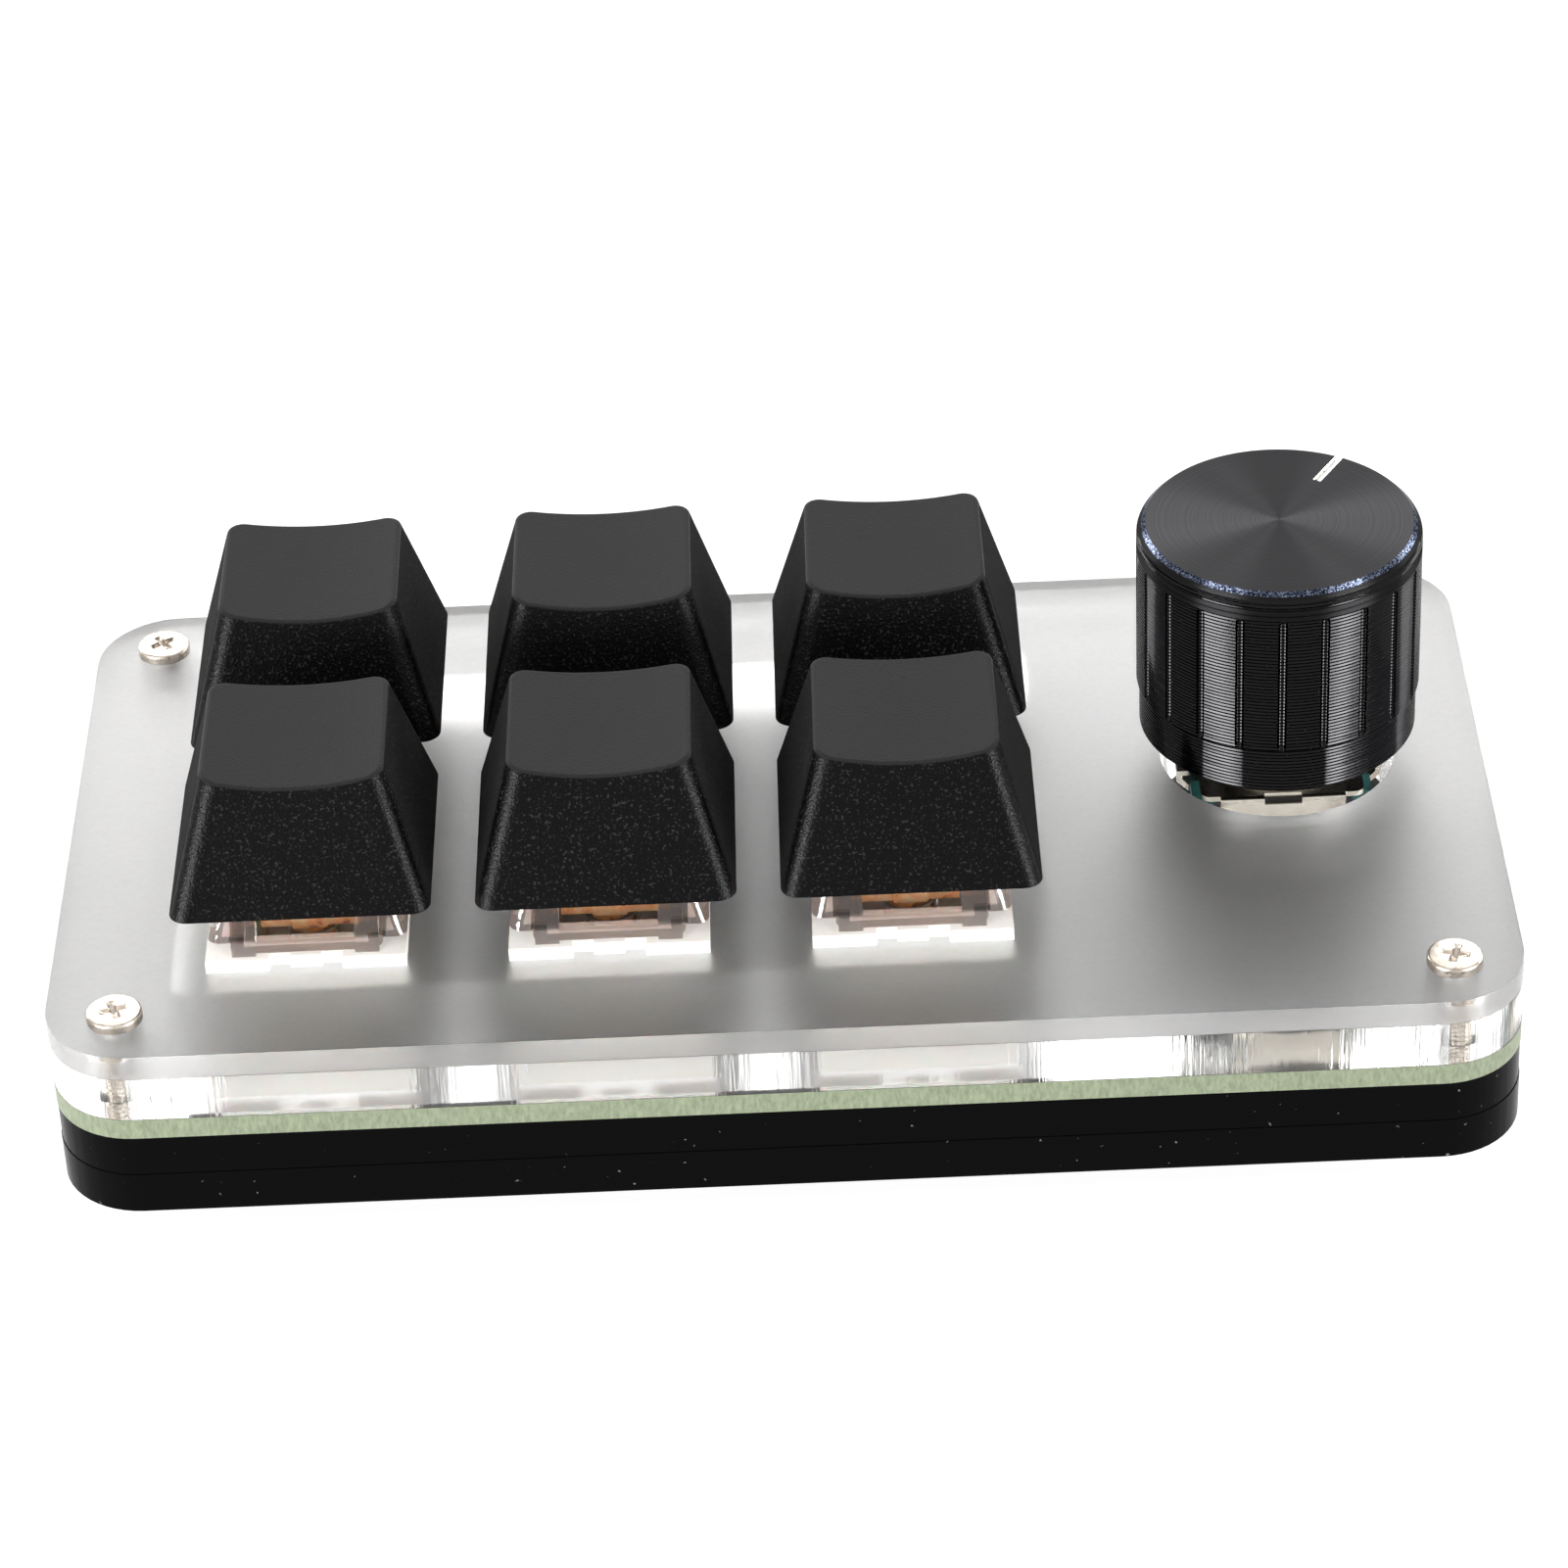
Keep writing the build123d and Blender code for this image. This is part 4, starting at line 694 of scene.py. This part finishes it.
# Turning lines: waves along the axis on the side, and along the radius on the face. The lean is
# the slope of a fine thread that the tool leaves: long flanks that face up, short ones that face
# down, all a little uneven.
turning_lines, given, results = shader_group(
    "turning_lines",
    [("Along", "Float", 0.0), ("Pitch", "Float", SIDE_PITCH), ("Waver", "Float", 0.3)],
    [("Height", "Float"), ("Tone", "Float"), ("Lean", "Float")],
)
steps = calc(turning_lines, "DIVIDE", given["Along"], given["Pitch"])
wave = calc(turning_lines, "SINE", calc(turning_lines, "MULTIPLY", steps, 2 * math.pi))
uneven = put(
    turning_lines, "TexNoise", {"W": steps, "Scale": 1.0, "Detail": 2.0}, noise_dimensions="1D",
).outputs[0]
jitter = calc(turning_lines, "MULTIPLY_ADD", uneven, 4.0, -2.0)
height = blend(turning_lines, given["Waver"], wave, jitter, "FLOAT")
slope = span(turning_lines, wave, -0.5, 0.83, start=-0.6, end=-0.1)
vary = calc(turning_lines, "MULTIPLY_ADD", uneven, 0.06, 0.97)
lean = calc(turning_lines, "MULTIPLY", slope, vary)
feed(turning_lines, results, {"Height": height, "Tone": uneven, "Lean": lean})


def product(tree, first, *others):
    """All these values or outputs multiplied."""
    for other in others:
        first = calc(tree, "MULTIPLY", first, other)
    return first


def measure(tree, axes, angle):
    """How far a point lies along a level direction at this angle: x cos a + y sin a."""
    x_part = calc(tree, "MULTIPLY", axes[0], math.cos(angle))
    return calc(tree, "ADD", x_part, calc(tree, "MULTIPLY", axes[1], math.sin(angle)))


anodised, tree, shader, place = new_finish("black_anodised")
centring = {"Vector": place, "Location": (-KNOB_X, -KNOB_Y, 0.0)}
axes = put(tree, "SeparateXYZ", {0: put(tree, "Mapping", centring).outputs[0]}).outputs
squares = calc(tree, "ADD", product(tree, axes[0], axes[0]), product(tree, axes[1], axes[1]))
radius = calc(tree, "SQRT", squares)
upward = normal_axes(tree)[2]
on_face = calc(tree, "GREATER_THAN", upward, FACE_ABOVE)
on_side = calc(tree, "LESS_THAN", calc(tree, "ABSOLUTE", upward), SIDE_BELOW)

# The bare metal: the chamfer is what lies high and far out, and the slot is a strip of the face
# that lies under it.
chamfer = product(
    tree,
    calc(tree, "GREATER_THAN", axes[2], CHAMFER_FOOT),
    calc(tree, "GREATER_THAN", radius, CHAMFER_RADIUS),
)
beside_slot = calc(tree, "ABSOLUTE", measure(tree, axes, SLOT_ANGLE + math.pi / 2))
in_slot = product(
    tree,
    calc(tree, "GREATER_THAN", measure(tree, axes, SLOT_ANGLE), SLOT_START),
    calc(tree, "LESS_THAN", beside_slot, SLOT_HALF_WIDTH),
    calc(tree, "LESS_THAN", axes[2], SLOT_LIP),
    calc(tree, "GREATER_THAN", axes[2], SLOT_FLOOR),
)
bare = calc(tree, "MAXIMUM", chamfer, in_slot)

# The normal leans with the thread on the side, and carries the fine rings on the face.
side_lines = place_group(tree, turning_lines, {"Along": axes[2], "Pitch": SIDE_PITCH})
face_lines = place_group(
    tree, turning_lines, {"Along": radius, "Pitch": FACE_PITCH, "Waver": 0.6},
)
tilt = put(tree, "CombineXYZ", {2: product(tree, side_lines["Lean"], on_side)}).outputs[0]
normal = put(tree, "NewGeometry").outputs["Normal"]
leaning = put(tree, "VectorMath", {0: normal, 1: tilt}, operation="ADD").outputs[0]
leaning = put(tree, "VectorMath", {0: leaning}, operation="NORMALIZE").outputs[0]
lined = put(tree, "Bump", {
    "Height": product(tree, face_lines["Height"], on_face, FACE_RELIEF),
    "Strength": 1.0, "Distance": 0.00001, "Normal": leaning,
}).outputs["Normal"]

# Painted light: the face is painted a lighter grey than the side, though both are the same black
# anodising. The tones vary at random with the turning lines.
side_dye = blend(tree, side_lines["Tone"], paint(0.10, 0.10, 0.103), paint(0.16, 0.16, 0.163))
face_tone_painted_lighter = blend(tree, face_lines["Tone"], paint(0.155, 0.155, 0.158), paint(0.23, 0.23, 0.235))
anodise_tone_and_painted_face = blend(tree, on_face, side_dye, face_tone_painted_lighter)
# Painted reflection: the chamfer is bare cut aluminium, but its colour is a mottle from dark blue
# to pale blue-grey that stands in for the dark surroundings the polished cut reflects. The slot
# keeps the plain pale metal.
chamfer_mottle = noise(tree, place, 8000.0, 3.0)
chamfer_painted_reflection = ramp(tree, chamfer_mottle, (0.45, paint(0.08, 0.10, 0.17)), (0.78, paint(0.60, 0.64, 0.72)))
bare_metal_and_painted_reflection = blend(tree, in_slot, chamfer_painted_reflection, paint(0.90, 0.90, 0.89))
skin = blend(tree, on_side, 0.38, 0.09, "FLOAT")
feed(tree, shader, {
    "Base Color": blend(tree, bare, anodise_tone_and_painted_face, bare_metal_and_painted_reflection), "Metallic": 1.0,
    "Roughness": blend(tree, bare, skin, 0.18, "FLOAT"),
    "Specular Tint": grey(0.5), "Anisotropic": 0.95, "Anisotropic Rotation": 0.25,
    "Tangent": put(tree, "Tangent", direction_type="RADIAL", axis="Z").outputs[0],
    "Normal": lined,
})
dress(anodised, "knob")

black_steel, tree, shader, place = new_finish("black_steel")
haze = place_group(tree, mottle, {
    "Place": place, "Scale": 1500.0,
    "Dark": paint(0.16, 0.16, 0.17), "Bright": paint(0.28, 0.28, 0.29),
})
feed(tree, shader, {
    "Base Color": haze["Tone"], "Metallic": 1.0, "Roughness": 0.4,
    "Normal": bump(tree, haze["Height"], 0.2, 0.00003),
})
dress(black_steel, "knob_set_screw")

# --- parts under the board --------------------------------------------------------------------
# Moulded chips and diodes with a fine eroded grain, and the tongue of the socket, soldered to
# the underside of the board.

chip_resin, tree, shader, place = new_finish("chip_resin")
grain = place_group(tree, fine_grain, {"Place": place, "Grains": 5000.0})
feed(tree, shader, {
    "Base Color": blend(tree, grain["Height"], paint(0.12, 0.12, 0.12), paint(0.20, 0.20, 0.20)),
    "Roughness": 0.6, "Normal": bump(tree, grain["Height"], 0.4, 0.00003),
})
dress(chip_resin, "controller_chip", "board_parts", "usb_tongue")
